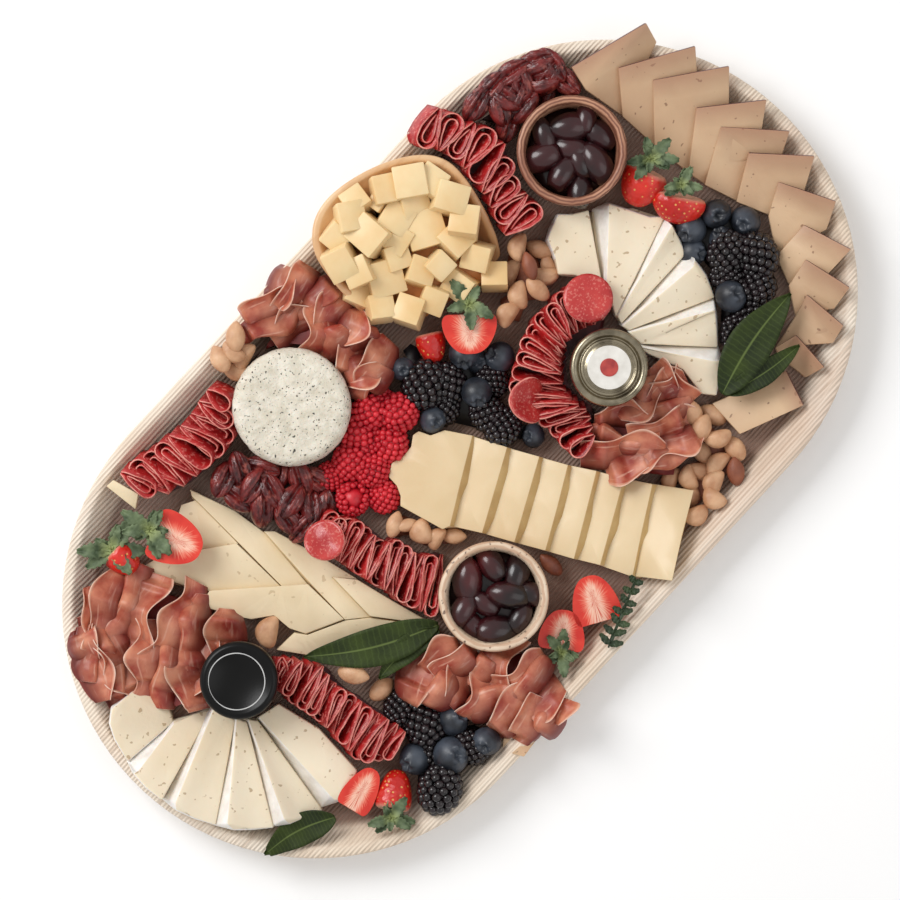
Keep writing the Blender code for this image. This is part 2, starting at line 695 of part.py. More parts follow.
def hams():
    left = [
        (-256, 64), (-251, 75), (-241, 88), (-226, 97), (-214, 105), (-204, 110), (-198, 107), (-196, 97),
        (-191.5, 90), (-183, 75), (-177.5, 64), (-178.5, 51), (-168, 31), (-163, 21.5), (-167.5, 16), (-172, 21.3),
        (-181, 27), (-190, 29), (-201, 27), (-209, 21), (-214.5, 13), (-224, 12.5), (-231.5, 15.5), (-230.5, 24),
        (-226.5, 31), (-226.5, 38), (-229, 45), (-240, 50), (-252, 52.5), (-266, 53.5), (-262, 60),
    ]
    add_object("ham_left", pile_mesh(left, folded(34, 5, 26, 35, 2.5), 11.0), HAM_RED)
    top = [
        (-38, 129), (-34, 141), (-27, 150), (-8, 152.5), (4, 151.5), (10, 146), (16.5, 141), (18.5, 130),
        (18, 112), (17.5, 97), (16, 90), (19, 80), (16.5, 72), (5, 66.5), (-1, 64.5), (-10, 64.5), (-16, 66),
        (-22.5, 65), (-16.5, 73), (-12.7, 84), (-12.2, 98), (-16.5, 109), (-24.5, 119.5), (-32.5, 126),
    ]
    add_object("ham_top", pile_mesh(top, folded(36, 5, 30, 70, 3), 11.0), HAM_RED)
    middle = [
        (47.5, -60), (60, -58), (68, -53), (74, -46.5), (78, -51), (83, -54.8), (89, -57.3), (95.5, -58),
        (102, -57.3), (108, -55), (113.5, -51), (117, -46.8), (121, -58), (124, -70), (121, -82), (112, -82),
        (105, -82.5), (99.5, -87), (101.5, -95), (101.5, -104), (97, -109), (88, -106.5), (80, -105), (75, -108),
        (71, -104), (65, -96), (57, -83.5), (48.5, -68.5),
    ]
    add_object("ham_middle", pile_mesh(middle, folded(33, 4.5, 24, -20, 2.5), 10.0), HAM_RED)
    lower = [
        (-131.5, -76.5), (-127, -74), (-119, -77.5), (-112, -73), (-100, -72), (-89, -70.5), (-87, -76), (-87, -82),
        (-84, -90), (-79.5, -98), (-71.5, -105.5), (-63.5, -110), (-59, -112.5), (-58, -119), (-58.5, -125),
        (-61.5, -132), (-63.5, -142), (-67, -149), (-71, -156), (-79, -157.5), (-88, -154), (-94.5, -148),
        (-103, -141), (-107, -134), (-107.5, -126), (-116, -115), (-113, -109), (-113.5, -101), (-123, -95.5),
        (-125.5, -88), (-131.5, -82),
    ]
    add_object("ham_lower", pile_mesh(lower, folded(35, 4, 28, 15, 2.5), 11.0), HAM_RED)


def salamis():
    ruffle(
        "salami_top",
        [(113.5, 142), (120, 133), (124, 121), (123, 108), (120, 94), (116, 80), (110.5, 67), (111, 63)],
        [(141, 153), (144.5, 142), (149, 131), (152, 121), (156, 111), (152, 100), (143, 87), (140.5, 74), (139.5, 57)],
        9, 30, 38, SALAMI_RED,
    )
    ruffle(
        "salami_left",
        [(-153, 139), (-146, 141.5), (-130, 137), (-118, 135), (-105, 133.5), (-90, 134.5), (-80, 137), (-73, 134)],
        [(-147, 119), (-140, 109), (-128, 104.5), (-119, 103), (-108, 102), (-97, 101), (-86.5, 103), (-74, 121.5)],
        7, 31, 39, SALAMI_RED,
    )
    ruffle(
        "salami_lower",
        [(-165.5, -3.5), (-155.5, -18.5), (-149.5, -28), (-152.5, -38), (-152, -50), (-149.5, -57), (-149.5, -66),
         (-147, -75), (-145, -86), (-146, -94)],
        [(-170, -12), (-179, -20.5), (-181.5, -30), (-178.5, -45), (-178, -57), (-179, -70), (-180.5, -83),
         (-172, -90), (-165, -95.5)],
        9, 27, 35, SALAMI_RED,
    )
    ruffle(
        "salami_middle",
        [(-103, 28), (-102.5, 18), (-97.5, -8), (-93, -32), (-90, -48), (-86, -59)],
        [(-78, 31), (-77.5, 22), (-71.5, 16), (-71, -5), (-64, -10), (-62, -24), (-58, -30), (-50, -36),
         (-60, -39), (-69, -42.5), (-77, -48.5)],
        8, 25, 33, SALAMI_RED,
    )
    ruffle(
        "salami_centre",
        [(126.5, -6), (127.5, 4), (120, 18), (108, 21.5), (102, 19), (91, 22), (75, 19.5), (66, 14.5), (60, 8),
         (50, 6.5), (44.5, 0), (41, -14), (45, -26), (44, -35), (38, -38.5), (41, -50), (45, -56)],
        [(116, -13), (107.6, -10), (101.8, -7.6), (95.5, -6.8), (89, -7.6), (83, -10), (77.5, -14.5), (73.5, -19.5),
         (71, -25.7), (70.2, -32), (71, -38.5), (72, -43), (66, -50), (60, -55.5)],
        13, 27, 36, SALAMI_RED,
    )


# ---------------------------------------------------------------- nuts


def pecans():
    left = [
        (-121, 100), (-110, 100.5), (-100, 99.5), (-90, 93), (-88.5, 84), (-84, 75), (-77, 65), (-70, 58.5),
        (-66, 56), (-65, 52), (-71, 47), (-72, 39), (-79, 34), (-88, 33), (-101, 32.5), (-106, 38), (-109, 50),
        (-113, 62), (-116.5, 75), (-119, 88),
    ]
    pieces = [(-110, 90, 19, 12), (-98, 82, 21, 12), (-108, 70, 20, 12), (-92, 66, 21, 12), (-80, 55, 19, 11),
              (-96, 52, 20, 12), (-100, 40, 18, 10), (-84, 42, 17, 10)]
    add_object("pecans_left", pile_mesh(left, bumps(pieces, 12.0), 9.0), PECAN_DARK)
    top = [
        (148.7, 136.2), (154, 139), (170, 139.5), (182, 135), (195, 130), (205, 128.5), (214, 121), (213, 112),
        (209.5, 107), (207, 100), (205, 94), (201.5, 98), (193, 104), (183, 107.3), (170, 107.8), (159, 105),
        (159.5, 114), (154.5, 122), (153, 130),
    ]
    pieces = [(158, 130, 24, 12), (172, 128, 25, 12), (172, 114, 27, 12), (188, 122, 24, 12), (200, 118, 24, 12),
              (204, 106, 24, 9)]
    add_object("pecans_top", pile_mesh(top, bumps(pieces, 10.0), 9.0), PECAN_DARK)


def nuts():
    """Small heaps of walnut pieces, almonds and peanuts, and the nuts that lie alone."""
    far = [(-69, 141), (-60, 147), (-51, 146.5), (-48, 151.5), (-40, 152), (-35.5, 146), (-37.5, 138),
           (-41, 130), (-52, 129), (-63, 128), (-67.5, 134)]
    pieces = [(-58, 140, 30, 8.5), (-43, 144, 31, 8.5), (-47, 133, 20, 8), (-59, 131, 18, 7)]
    add_object("nuts_far", pile_mesh(far, bumps(pieces, 5.0), 7.0), NUT_BROWN)
    row = [(-69, -5.5), (-66, 1), (-59, 3.5), (-53, 1.5), (-51, -3), (-48.7, -9), (-45.7, -20), (-44.2, -26),
           (-40, -30), (-36.3, -38.2), (-42, -39.5), (-47, -36), (-50, -31.5), (-56, -28.5), (-59.5, -22),
           (-59.5, -13), (-63, -9)]
    pieces = [(-60, -2, 16, 7), (-52, -16, 17, 8), (-50, -25, 15, 7), (-42, -33, 15, 6)]
    add_object("nuts_row", pile_mesh(row, bumps(pieces, 6.0), 6.0), NUT_BROWN)
    centre = [(73.5, 30), (74, 38), (80, 44), (87.5, 41.5), (95, 45.5), (101, 54), (104, 59), (108, 61.5),
              (115, 58), (118, 52), (121.5, 47), (119, 41), (115, 35), (111, 29.5), (107, 27), (104, 22.5),
              (98, 24), (94, 28), (85, 26), (77, 22.5)]
    pieces = [(80, 34, 20, 9), (94, 36, 20, 8), (101, 31, 20, 8), (109, 43, 21, 8), (111, 54, 20, 8)]
    add_object("nuts_centre", pile_mesh(centre, bumps(pieces, 8.0), 7.0), NUT_BROWN)
    right = [(103.5, -90), (108, -84.5), (115, -84), (119.5, -87.5), (119, -92), (118, -104), (117, -113),
             (118, -119), (121, -122.5), (117, -127), (109, -128), (108, -133), (102, -136), (96, -132.5),
             (92, -133), (86, -139.5), (78, -138.5), (74, -133.5), (70, -136.5), (62, -136), (59, -132.5), (66, -129),
             (73, -125.7), (80.8, -122), (77, -116), (76, -111), (81, -107.5), (88, -109), (96, -111.5),
             (103.5, -106), (103.8, -96)]
    pieces = [(110, -98, 18, 8), (112, -88, 18, 7), (108, -112, 17, 8), (112, -120, 14, 7), (99, -119, 14, 7),
              (102, -130, 16, 6), (82, -114, 14, 7), (87, -125, 15, 8), (82, -131, 17, 8), (67, -131, 17, 6)]
    add_object("nuts_right", pile_mesh(right, bumps(pieces, 6.0), 6.5), NUT_BROWN)
    singles = {
        "walnut_left": ((-159, 10, 15), (8, 7.2, 9), 1.5),
        "almond_upper": ((-142.5, -45, 25), (9.5, 5.5, 4), -1.0),
        "almond_lower": ((-138.3, -63.8, 13), (8, 4.8, 4), -0.1),
        "almond_bowl": ((-13.9, -87.6, 13), (7, 3.9, 4), 1.6),
    }
    for name, (centre, size, turn) in singles.items():
        add_object(name, ellipsoid(centre, size, turn), NUT_BROWN)


# ---------------------------------------------------------------- fruit


def berries():
    middle = [
        (3.8, 51), (5, 60), (10, 64), (17, 67), (19, 73), (26, 72.5), (28, 66), (22.5, 60), (21, 53), (24, 46),
        (33, 39), (41, 42.5), (47, 42.5), (51, 39), (51.5, 31), (57, 27.5), (62, 24), (63, 17), (60, 11),
        (53, 10.3), (47, 9.5), (40.5, 3), (37.5, -5), (36.5, -15), (36.5, -24), (41, -27), (41, -32), (32, -33),
        (25, -24), (19, -13), (13, 0.7), (3.8, 16.2), (-3.5, 19.7), (-7, 25), (-4.5, 28.8), (0.5, 30.5), (4, 37),
    ]
    pieces = [(12, 58, 20, 8), (22, 67, 16, 6), (14, 40, 18, 14), (43, 36, 21, 8), (2, 24, 19, 8), (26, 20, 20, 11),
              (55, 18, 19, 9), (32, 12, 18, 9), (25, -8, 17, 12), (36, -28, 16, 6)]
    add_object("berries_middle", pile_mesh(middle, bumps(pieces, 9.0), 8.0), BERRY_DARK)
    right = [
        (189, -4.5), (185.5, -11.5), (182, -19), (183, -27), (181.5, -39), (174.5, -50), (168, -60), (157, -69.5),
        (155.5, -76.8), (180, -77), (203, -76.5), (208, -71.5), (211, -66), (211.5, -60), (216, -54), (217.5, -49),
        (221, -46.5), (225, -40), (224.5, -33), (219, -27), (219.5, -20), (216, -13.5), (211, -11.5), (204, -12),
        (199, -9.5), (195, -5),
    ]
    pieces = [(190, -12, 20, 8.5), (210, -20, 19, 9), (217, -37, 18, 8.5), (178, -58, 22, 9.5), (195, -32, 18, 12),
              (202, -50, 19, 13), (196, -68, 17, 12), (172, -70, 15, 11), (186, -46, 17, 9)]
    add_object("berries_right", pile_mesh(right, bumps(pieces, 9.0), 8.5), BERRY_DARK)
    lower = [
        (-142, -71.5), (-134, -71.5), (-133, -76), (-133.5, -82), (-128, -89), (-125.5, -96.5), (-116, -102),
        (-115, -111), (-118.5, -116.5), (-112.5, -122), (-109.5, -131), (-114, -140), (-125, -141.5), (-135, -138),
        (-145, -137), (-151, -142), (-161, -142.5), (-170, -138), (-174, -131), (-172.5, -123), (-165.5, -117),
        (-165.5, -108), (-164, -100), (-155, -99), (-148, -98.5), (-142.5, -94), (-142.5, -86), (-144, -76),
    ]
    pieces = [(-138, -79, 16, 9), (-135, -97, 16, 12), (-155, -107, 18, 9.5), (-124, -108, 19, 9), (-139, -121, 21, 11),
              (-158, -130, 19, 13), (-127, -127, 18, 11), (-118, -131, 24, 8.5), (-143, -134, 17, 9)]
    add_object("berries_lower", pile_mesh(lower, bumps(pieces, 9.0), 8.5), BERRY_DARK)
    red = [
        (-68, 46), (-61, 52.5), (-50, 53), (-40, 54), (-32, 57.5), (-26, 61), (-18, 62.5), (-11, 61), (-6, 54),
        (0.3, 49), (1.5, 40), (-2.3, 32.5), (-8, 30), (-14, 29), (-20, 24.5), (-27, 23.5), (-34, 26), (-43, 21.5),
        (-44.5, 14), (-48.5, 9), (-52, 5.5), (-58, 8), (-62, 13), (-70, 17.5), (-75.5, 23), (-75.5, 32), (-69.5, 38),
    ]
    pieces = [(-50, 43, 19, 11), (-35, 50, 19, 11), (-20, 54, 20, 11), (-10, 42, 20, 11.5), (-27, 34, 20, 11),
              (-44, 31, 16, 10), (-66, 27, 16, 10), (-53, 14, 17, 9.5)]
    add_object("raspberries", pile_mesh(red, bumps(pieces, 9.0), 8.0), BERRY_RED)


def strawberry(name, butt, tip, width, base, thick, crown, lift=0.0):
    """A strawberry or a half of one, from its leafy butt to its tip, lying on a height.

    The crown is the radius of its ring of sepals, or nothing where they were cut off. The lift is
    how much higher than its tip the butt lies.
    """
    start = Vector((*butt, lift))
    way = Vector((*tip, 0)) - start
    side = Vector((-way.y, way.x, 0)).normalized()
    steps = 10
    rings = []
    for share, swell in ((0.0, 0.55), (0.14, 0.9), (0.36, 1.0), (0.66, 0.72), (0.9, 0.3), (1.0, 0.08)):
        middle = start + way * share + Vector((0, 0, base + thick / 2))
        ring = []
        for i in range(steps):
            angle = 2 * math.pi * i / steps
            offset = side * (width / 2 * swell * math.cos(angle))
            lift = thick / 2 * swell * math.sin(angle)
            ring.append(middle + offset + Vector((0, 0, lift)))
        rings.append(ring)
    body = loft(rings)
    if not crown:
        return add_object(name, body, STRAWBERRY)
    height = base + thick * 0.62
    star = []
    for i in range(14):
        angle = 2 * math.pi * i / 14
        reach = crown * (1.0 if i % 2 else 0.5)
        star.append((butt[0] + reach * math.cos(angle), butt[1] + reach * math.sin(angle)))
    sepals = prism(star, height, height + 2.4)
    return united(name, [body, sepals], STRAWBERRY)


def strawberries():
    strawberry("strawberry_top_left", (-186.5, 110), (-188, 95.5), 15, 6, 17, 14)
    strawberry("strawberry_half_left", (-160, 101), (-152, 76), 34, 25, 11, 14)
    strawberry("strawberry_red_middle", (37, 62), (33, 43), 18, 6, 18, 0)
    strawberry("strawberry_half_middle", (66, 46), (57, 33), 21, 6, 19, 10)
    strawberry("strawberry_right_upper", (201, 32), (178, 28), 17, 6, 20, 0)
    strawberry("strawberry_right_lower", (190, 9), (211, -3), 15, 6, 18, 0)
    strawberry("strawberry_half_lower", (-42, -127), (-42, -112), 28, 6, 17, 0)
    strawberry("strawberry_slice_lower", (-15, -134), (-9, -106), 29, 6, 17, 0)
    strawberry("strawberry_half_bottom", (-203, -103), (-177, -94), 16, 6, 18, 0)
    strawberry("strawberry_bottom", (-182, -127), (-173, -102), 15, 7, 16, 0, 10)


# ---------------------------------------------------------------- leaves


def leaf(outline, under, arch):
    """A thin arched leaf blade."""
    xs = [point[0] for point in outline]
    ys = [point[1] for point in outline]
    centre = (sum(xs) / len(xs), sum(ys) / len(ys))

    def lower(x, y):
        return under(x, y)

    mesh = bmesh.new()
    low = [mesh.verts.new((x, y, lower(x, y))) for x, y in outline]
    high = [mesh.verts.new((x, y, lower(x, y) + 1.2)) for x, y in outline]
    count = len(outline)
    for i in range(count):
        j = (i + 1) % count
        mesh.faces.new((low[i], low[j], high[j], high[i]))
    low_middle = mesh.verts.new((*centre, lower(*centre) + arch))
    high_middle = mesh.verts.new((*centre, lower(*centre) + arch + 1.2))
    for i in range(count):
        j = (i + 1) % count
        mesh.faces.new((low[i], low[j], low_middle))
        mesh.faces.new((high[i], high[j], high_middle))
    return mesh


def leaves():
    big = [(-154, -18), (-148, -14.5), (-138, -16), (-126, -22), (-112, -33), (-99, -46), (-87, -63), (-92, -66),
           (-106, -58), (-122, -51), (-135, -42), (-146, -30)]
    small = [(-133, -56), (-124, -53.5), (-110, -54.5), (-95, -60), (-88, -64), (-93, -67.5), (-104, -70.5),
             (-118, -70.8), (-128, -66)]
    under = plane((-154, -18, 26), (-88, -64, 27), (-118, -70, 26))
    united("sage_middle", [leaf(big, under, 3.0), leaf(small, lambda x, y: under(x, y) - 0.5, 2.0)], LEAF_GREEN)
    big = [(131, -93), (143, -84.5), (160, -80.5), (180, -79), (201, -78.5), (203, -85), (201, -91), (190, -97),
           (178, -101), (160, -98), (143, -93)]
    small = [(131, -93), (148, -92), (166, -95), (178, -100), (183, -106), (180, -110), (168, -108), (150, -103)]
    under = plane((131, -93, 27), (201, -79, 29), (183, -106, 27.5))
    united("sage_right", [leaf(big, under, 3.0), leaf(small, lambda x, y: under(x, y) - 0.5, 1.5)], LEAF_GREEN)
    outline = [(-257, -78), (-247, -76.5), (-238, -78), (-230, -82), (-221, -86.5), (-214, -90.5), (-213, -96),
               (-218, -100), (-226, -98), (-240, -91), (-252, -85)]
    add_object("sage_bottom", leaf(outline, lambda x, y: rest_height(x, y) + 2.5, 1.0), LEAF_GREEN)
    sprig = [(-25, -145.5), (-18, -139.5), (-9, -135), (0, -132), (8, -128.5), (12.5, -131), (8, -134.5), (0, -137.5),
             (-8, -140), (-17, -144.5)]
    add_object("thyme_sprig", leaf(sprig, lambda x, y: 28.5, 1.0), LEAF_GREEN)


tray()
bowl("dark_bowl", BOWL_A, BROWN_WOOD)
bowl("pale_bowl", BOWL_B, PALE_WOOD)
olives("olives_dark_bowl", BOWL_A,
       [(160, 88, 25, 13), (180, 86, 27, 13), (194, 76, 26, 12), (164, 70, 26, 12), (183, 62, 27, 13), (166, 55, 25, 11)])
olives("olives_pale_bowl", BOWL_B,
       [(-55, -58, 26, 12), (-40, -62, 25, 12), (-66, -68, 26, 12), (-48, -78, 27, 12), (-36, -80, 25, 11),
        (-66, -88, 25, 12), (-50, -93, 25, 11)])
jar("jar_gilt", "lid_gilt", JAR_A, GILT)
jar("jar_black", "lid_black", JAR_B, BLACK)
herb_cheese()
scoop()
cheese_cubes()
smoked_slices()
yellow_slices()
soft_wedges_right()
soft_wedges_left()
pale_triangles()
tan_slice()
hams()
salamis()
pecans()
nuts()
berries()
strawberries()
leaves()
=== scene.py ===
import math
import random

import bmesh
import bpy
from mathutils import Euler, Matrix, Vector, noise
from mathutils.bvhtree import BVHTree


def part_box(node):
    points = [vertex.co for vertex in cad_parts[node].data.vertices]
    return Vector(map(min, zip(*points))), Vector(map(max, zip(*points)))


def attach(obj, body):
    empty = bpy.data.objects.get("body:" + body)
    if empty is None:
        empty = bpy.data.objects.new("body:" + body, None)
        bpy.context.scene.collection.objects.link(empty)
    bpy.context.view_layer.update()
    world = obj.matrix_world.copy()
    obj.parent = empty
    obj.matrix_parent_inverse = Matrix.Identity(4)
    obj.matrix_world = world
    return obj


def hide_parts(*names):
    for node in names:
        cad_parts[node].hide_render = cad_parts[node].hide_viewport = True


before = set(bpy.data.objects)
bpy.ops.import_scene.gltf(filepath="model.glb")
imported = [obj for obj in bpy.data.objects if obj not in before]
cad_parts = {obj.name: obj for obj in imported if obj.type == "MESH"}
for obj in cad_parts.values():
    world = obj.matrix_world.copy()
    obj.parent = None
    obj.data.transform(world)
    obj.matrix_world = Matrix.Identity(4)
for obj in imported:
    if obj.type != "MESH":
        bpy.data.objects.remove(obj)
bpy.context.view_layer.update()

# Tray: one piece of pressed palm leaf, an oblong with round ends, a flat lip and sloping walls.
# The leaf's straight veins run the whole length, so the lip and walls show fine parallel ridges.
# Drawn in millimetres from the frame's own box, as every piece after it is.

MM = 0.001
tray_low, tray_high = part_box("tray")
TRAY_RADIUS = (tray_high.y - tray_low.y) / 2 / MM
TRAY_END = tray_high.x / MM - TRAY_RADIUS
TRAY_LIP = tray_high.z / MM


def paint(red, green, blue):
    """A colour from a painter's chart, each part 0 to 255, as linear light."""
    parts = []
    for part in (red, green, blue):
        share = part / 255
        parts.append(((share + 0.055) / 1.055) ** 2.4 if share > 0.04 else share / 12.92)
    return (*parts, 1.0)


def colours(sockets):
    """The colour sockets among a mix node's many."""
    return [socket for socket in sockets if socket.type == "RGBA"]


def mottle_group():
    """Soft blotches between two colours with a finer grain over them, as most food shows."""
    group = bpy.data.node_groups.new("mottle", "ShaderNodeTree")
    for name, kind in (("Low", "Color"), ("High", "Color"), ("Scale", "Float"), ("Grain", "Float")):
        group.interface.new_socket(name, in_out="INPUT", socket_type="NodeSocket" + kind)
    for name, kind in (("Colour", "Color"), ("Height", "Float")):
        group.interface.new_socket(name, in_out="OUTPUT", socket_type="NodeSocket" + kind)
    nodes, links = group.nodes, group.links
    start = nodes.new("NodeGroupInput")
    end = nodes.new("NodeGroupOutput")
    place = nodes.new("ShaderNodeTexCoord")
    blotch = nodes.new("ShaderNodeTexNoise")
    blotch.inputs["Detail"].default_value = 4.0
    grain = nodes.new("ShaderNodeTexNoise")
    grain.inputs["Detail"].default_value = 3.0
    spread = nodes.new("ShaderNodeMapRange")
    spread.inputs["From Min"].default_value = 0.35
    spread.inputs["From Max"].default_value = 0.65
    mix = nodes.new("ShaderNodeMix")
    mix.data_type = "RGBA"
    links.new(place.outputs["Object"], blotch.inputs["Vector"])
    links.new(place.outputs["Object"], grain.inputs["Vector"])
    links.new(start.outputs["Scale"], blotch.inputs["Scale"])
    links.new(start.outputs["Grain"], grain.inputs["Scale"])
    links.new(blotch.outputs["Fac"], spread.inputs["Value"])
    links.new(spread.outputs["Result"], mix.inputs["Factor"])
    for name, socket in zip(("Low", "High"), colours(mix.inputs)):
        links.new(start.outputs[name], socket)
    links.new(colours(mix.outputs)[0], end.inputs["Colour"])
    links.new(grain.outputs["Fac"], end.inputs["Height"])
    return group


MOTTLE = mottle_group()


def food(name, low, high, scale, grain, rough, bump, coat=0.0, glow=0.0):
    """A food surface: two mottled colours, a fine bump, a wet coat and light that soaks in."""
    look = bpy.data.materials.new(name)
    look.use_nodes = True
    nodes, links = look.node_tree.nodes, look.node_tree.links
    shader = nodes["Principled BSDF"]
    shader.inputs["Roughness"].default_value = rough
    shader.inputs["Coat Weight"].default_value = coat
    shader.inputs["Coat Roughness"].default_value = 0.15
    if glow:
        shader.inputs["Subsurface Weight"].default_value = glow
        shader.inputs["Subsurface Radius"].default_value = (0.006, 0.003, 0.002)
        shader.inputs["Subsurface Scale"].default_value = 1.0
    spots = nodes.new("ShaderNodeGroup")
    spots.node_tree = MOTTLE
    spots.name = "mottle"
    spots.inputs["Low"].default_value = paint(*low)
    spots.inputs["High"].default_value = paint(*high)
    spots.inputs["Scale"].default_value = scale
    spots.inputs["Grain"].default_value = grain
    raised = nodes.new("ShaderNodeBump")
    raised.name = "bump"
    raised.inputs["Strength"].default_value = bump
    raised.inputs["Distance"].default_value = 0.001
    links.new(spots.outputs["Colour"], shader.inputs["Base Color"])
    links.new(spots.outputs["Height"], raised.inputs["Height"])
    links.new(raised.outputs["Normal"], shader.inputs["Normal"])
    return look


def tint(look, value, low, high, top, colour):
    """Lays a colour over a surface, up to a top share, where a value climbs from low to high."""
    nodes, links = look.node_tree.nodes, look.node_tree.links
    base = nodes["Principled BSDF"].inputs["Base Color"]
    step = nodes.new("ShaderNodeMapRange")
    step.inputs["From Min"].default_value = low
    step.inputs["From Max"].default_value = high
    step.inputs["To Max"].default_value = top
    mix = nodes.new("ShaderNodeMix")
    mix.data_type = "RGBA"
    under, over = colours(mix.inputs)
    over.default_value = paint(*colour)
    links.new(value, step.inputs["Value"])
    links.new(step.outputs["Result"], mix.inputs["Factor"])
    links.new(base.links[0].from_socket, under)
    links.new(colours(mix.outputs)[0], base)


def pattern(look, kind, stretch=(1, 1, 1), turn=0.0, shift=(0, 0, 0), space="Object", **values):
    """A texture in the board's own space or on a piece's own map, moved, turned and stretched."""
    nodes, links = look.node_tree.nodes, look.node_tree.links
    place = nodes.new("ShaderNodeTexCoord")
    fit = nodes.new("ShaderNodeMapping")
    fit.inputs["Location"].default_value = shift
    fit.inputs["Scale"].default_value = stretch
    fit.inputs["Rotation"].default_value = (0, 0, turn)
    texture = nodes.new(kind)
    for name, value in values.items():
        texture.inputs[name].default_value = value
    links.new(place.outputs[space], fit.inputs["Vector"])
    links.new(fit.outputs["Vector"], texture.inputs["Vector"])
    return texture


def add_height(look, value, strength, distance):
    """Adds a second bump, from a value, under the bump that a surface already has."""
    nodes, links = look.node_tree.nodes, look.node_tree.links
    raised = nodes.new("ShaderNodeBump")
    raised.inputs["Strength"].default_value = strength
    raised.inputs["Distance"].default_value = distance
    links.new(value, raised.inputs["Height"])
    links.new(raised.outputs["Normal"], nodes["bump"].inputs["Normal"])


def put_on_board(name, mesh, looks, nodes, sharp=None):
    """Makes a finished piece of the board from a mesh drawn in millimetres."""
    bmesh.ops.scale(mesh, vec=(MM, MM, MM), verts=mesh.verts)
    data = bpy.data.meshes.new(name)
    mesh.to_mesh(data)
    mesh.free()
    for look in looks:
        data.materials.append(look)
    data.shade_smooth()
    if sharp:
        data.set_sharp_from_angle(angle=math.radians(sharp))
    piece = bpy.data.objects.new(name, data)
    bpy.context.scene.collection.objects.link(piece)
    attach(piece, "root")
    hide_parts(*nodes)
    return piece


tray_profile = (
    (26, 0),
    (2.2, 19.2),
    (0.5, 21.6),
    (0, 23),
    (0.4, 24.4),
    (1.4, TRAY_LIP),
    (5.2, TRAY_LIP),
    (6.4, 24.5),
    (7.6, 23.2),
    (18.6, 6.6),
    (20.4, 5.2),
    (23, 5),
)
mesh = bmesh.new()
chain = [mesh.verts.new((TRAY_END, inset - TRAY_RADIUS, height)) for inset, height in tray_profile]
rim = [mesh.edges.new(pair) for pair in zip(chain, chain[1:])]
half_turn = {"axis": (0, 0, 1), "angle": math.pi, "steps": 48, "use_merge": False}
swept = bmesh.ops.spin(mesh, geom=chain + rim, cent=(TRAY_END, 0, 0), **half_turn)
for centre in (-TRAY_END, TRAY_END):
    last = [part for part in swept["geom_last"] if isinstance(part, bmesh.types.BMEdge)]
    side = bmesh.ops.extrude_edge_only(mesh, edges=last)["geom"]
    moved = [part for part in side if isinstance(part, bmesh.types.BMVert)]
    bmesh.ops.translate(mesh, vec=(2 * centre, 0, 0), verts=moved)
    if centre < 0:
        edges = [part for part in side if isinstance(part, bmesh.types.BMEdge)]
        swept = bmesh.ops.spin(mesh, geom=moved + edges, cent=(-TRAY_END, 0, 0), **half_turn)
bmesh.ops.remove_doubles(mesh, verts=mesh.verts, dist=0.01)
bmesh.ops.holes_fill(mesh, edges=[edge for edge in mesh.edges if edge.is_boundary], sides=0)
bmesh.ops.recalc_face_normals(mesh, faces=mesh.faces)

TRAY_LEAF = food("palm_leaf", (234, 216, 194), (248, 237, 221), 14, 900, 0.62, 0.08)
veins = pattern(TRAY_LEAF, "ShaderNodeTexWave", Scale=142, Distortion=0.5, Detail=2.0)
veins.bands_direction = "Y"
fibres = pattern(TRAY_LEAF, "ShaderNodeTexNoise", (6, 700, 60), Scale=1.0, Detail=4.0)
stains = pattern(TRAY_LEAF, "ShaderNodeTexNoise", (2.5, 26, 10), Scale=1.0, Detail=3.0)
tint(TRAY_LEAF, stains.outputs["Fac"], 0.48, 0.72, 0.5, (205, 172, 150))
tint(TRAY_LEAF, fibres.outputs["Fac"], 0.52, 0.72, 0.5, (176, 146, 120))
tint(TRAY_LEAF, veins.outputs["Fac"], 0.42, 0.0, 0.3, (164, 134, 110))
add_height(TRAY_LEAF, veins.outputs["Fac"], 0.7, 0.0006)
# Painted shade: the tray's floor is darkened to brown below 11 mm, most at 5 mm, as the shadow in the gaps
# between the heaps.
floor_shade = pattern(TRAY_LEAF, "ShaderNodeSeparateXYZ")
tint(TRAY_LEAF, floor_shade.outputs["Z"], 0.0110, 0.0050, 0.8, (112, 70, 54))
put_on_board("palm_leaf_tray", mesh, [TRAY_LEAF], ["tray"], sharp=50)

# Two small olive bowls: turned coconut-brown wood for the one at the top, pale speckled wood for the
# other. Each is a thick round bowl with a flat rim, about 66 mm across.


def spot(node):
    """The middle of a node in plan, in millimetres, and its lowest and highest point."""
    low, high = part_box(node)
    return ((low.x + high.x) / 2 / MM, (low.y + high.y) / 2 / MM), low.z / MM, high.z / MM


def turned(mesh, centre, profile, steps=56):
    """Adds a turned shape, from a profile of radius and height."""
    chain = [mesh.verts.new((centre[0] + radius, centre[1], height)) for radius, height in profile]
    edges = [mesh.edges.new(pair) for pair in zip(chain, chain[1:])]
    turn = {"cent": (*centre, 0), "axis": (0, 0, 1), "angle": math.tau, "steps": steps}
    bmesh.ops.spin(mesh, geom=chain + edges, use_merge=True, **turn)
    bmesh.ops.remove_doubles(mesh, verts=mesh.verts, dist=0.005)
    bmesh.ops.recalc_face_normals(mesh, faces=mesh.faces)


def turned_grain(look, centre, rings, colour):
    """Rings round a turned piece's axis, as its growth rings show."""
    middle = (-centre[0] * MM, -centre[1] * MM, 0)
    wave = pattern(look, "ShaderNodeTexWave", shift=middle, Scale=rings, Distortion=3.0, Detail=2.0)
    wave.wave_type = "RINGS"
    wave.rings_direction = "Z"
    tint(look, wave.outputs["Fac"], 0.3, 0.8, 0.85, colour)


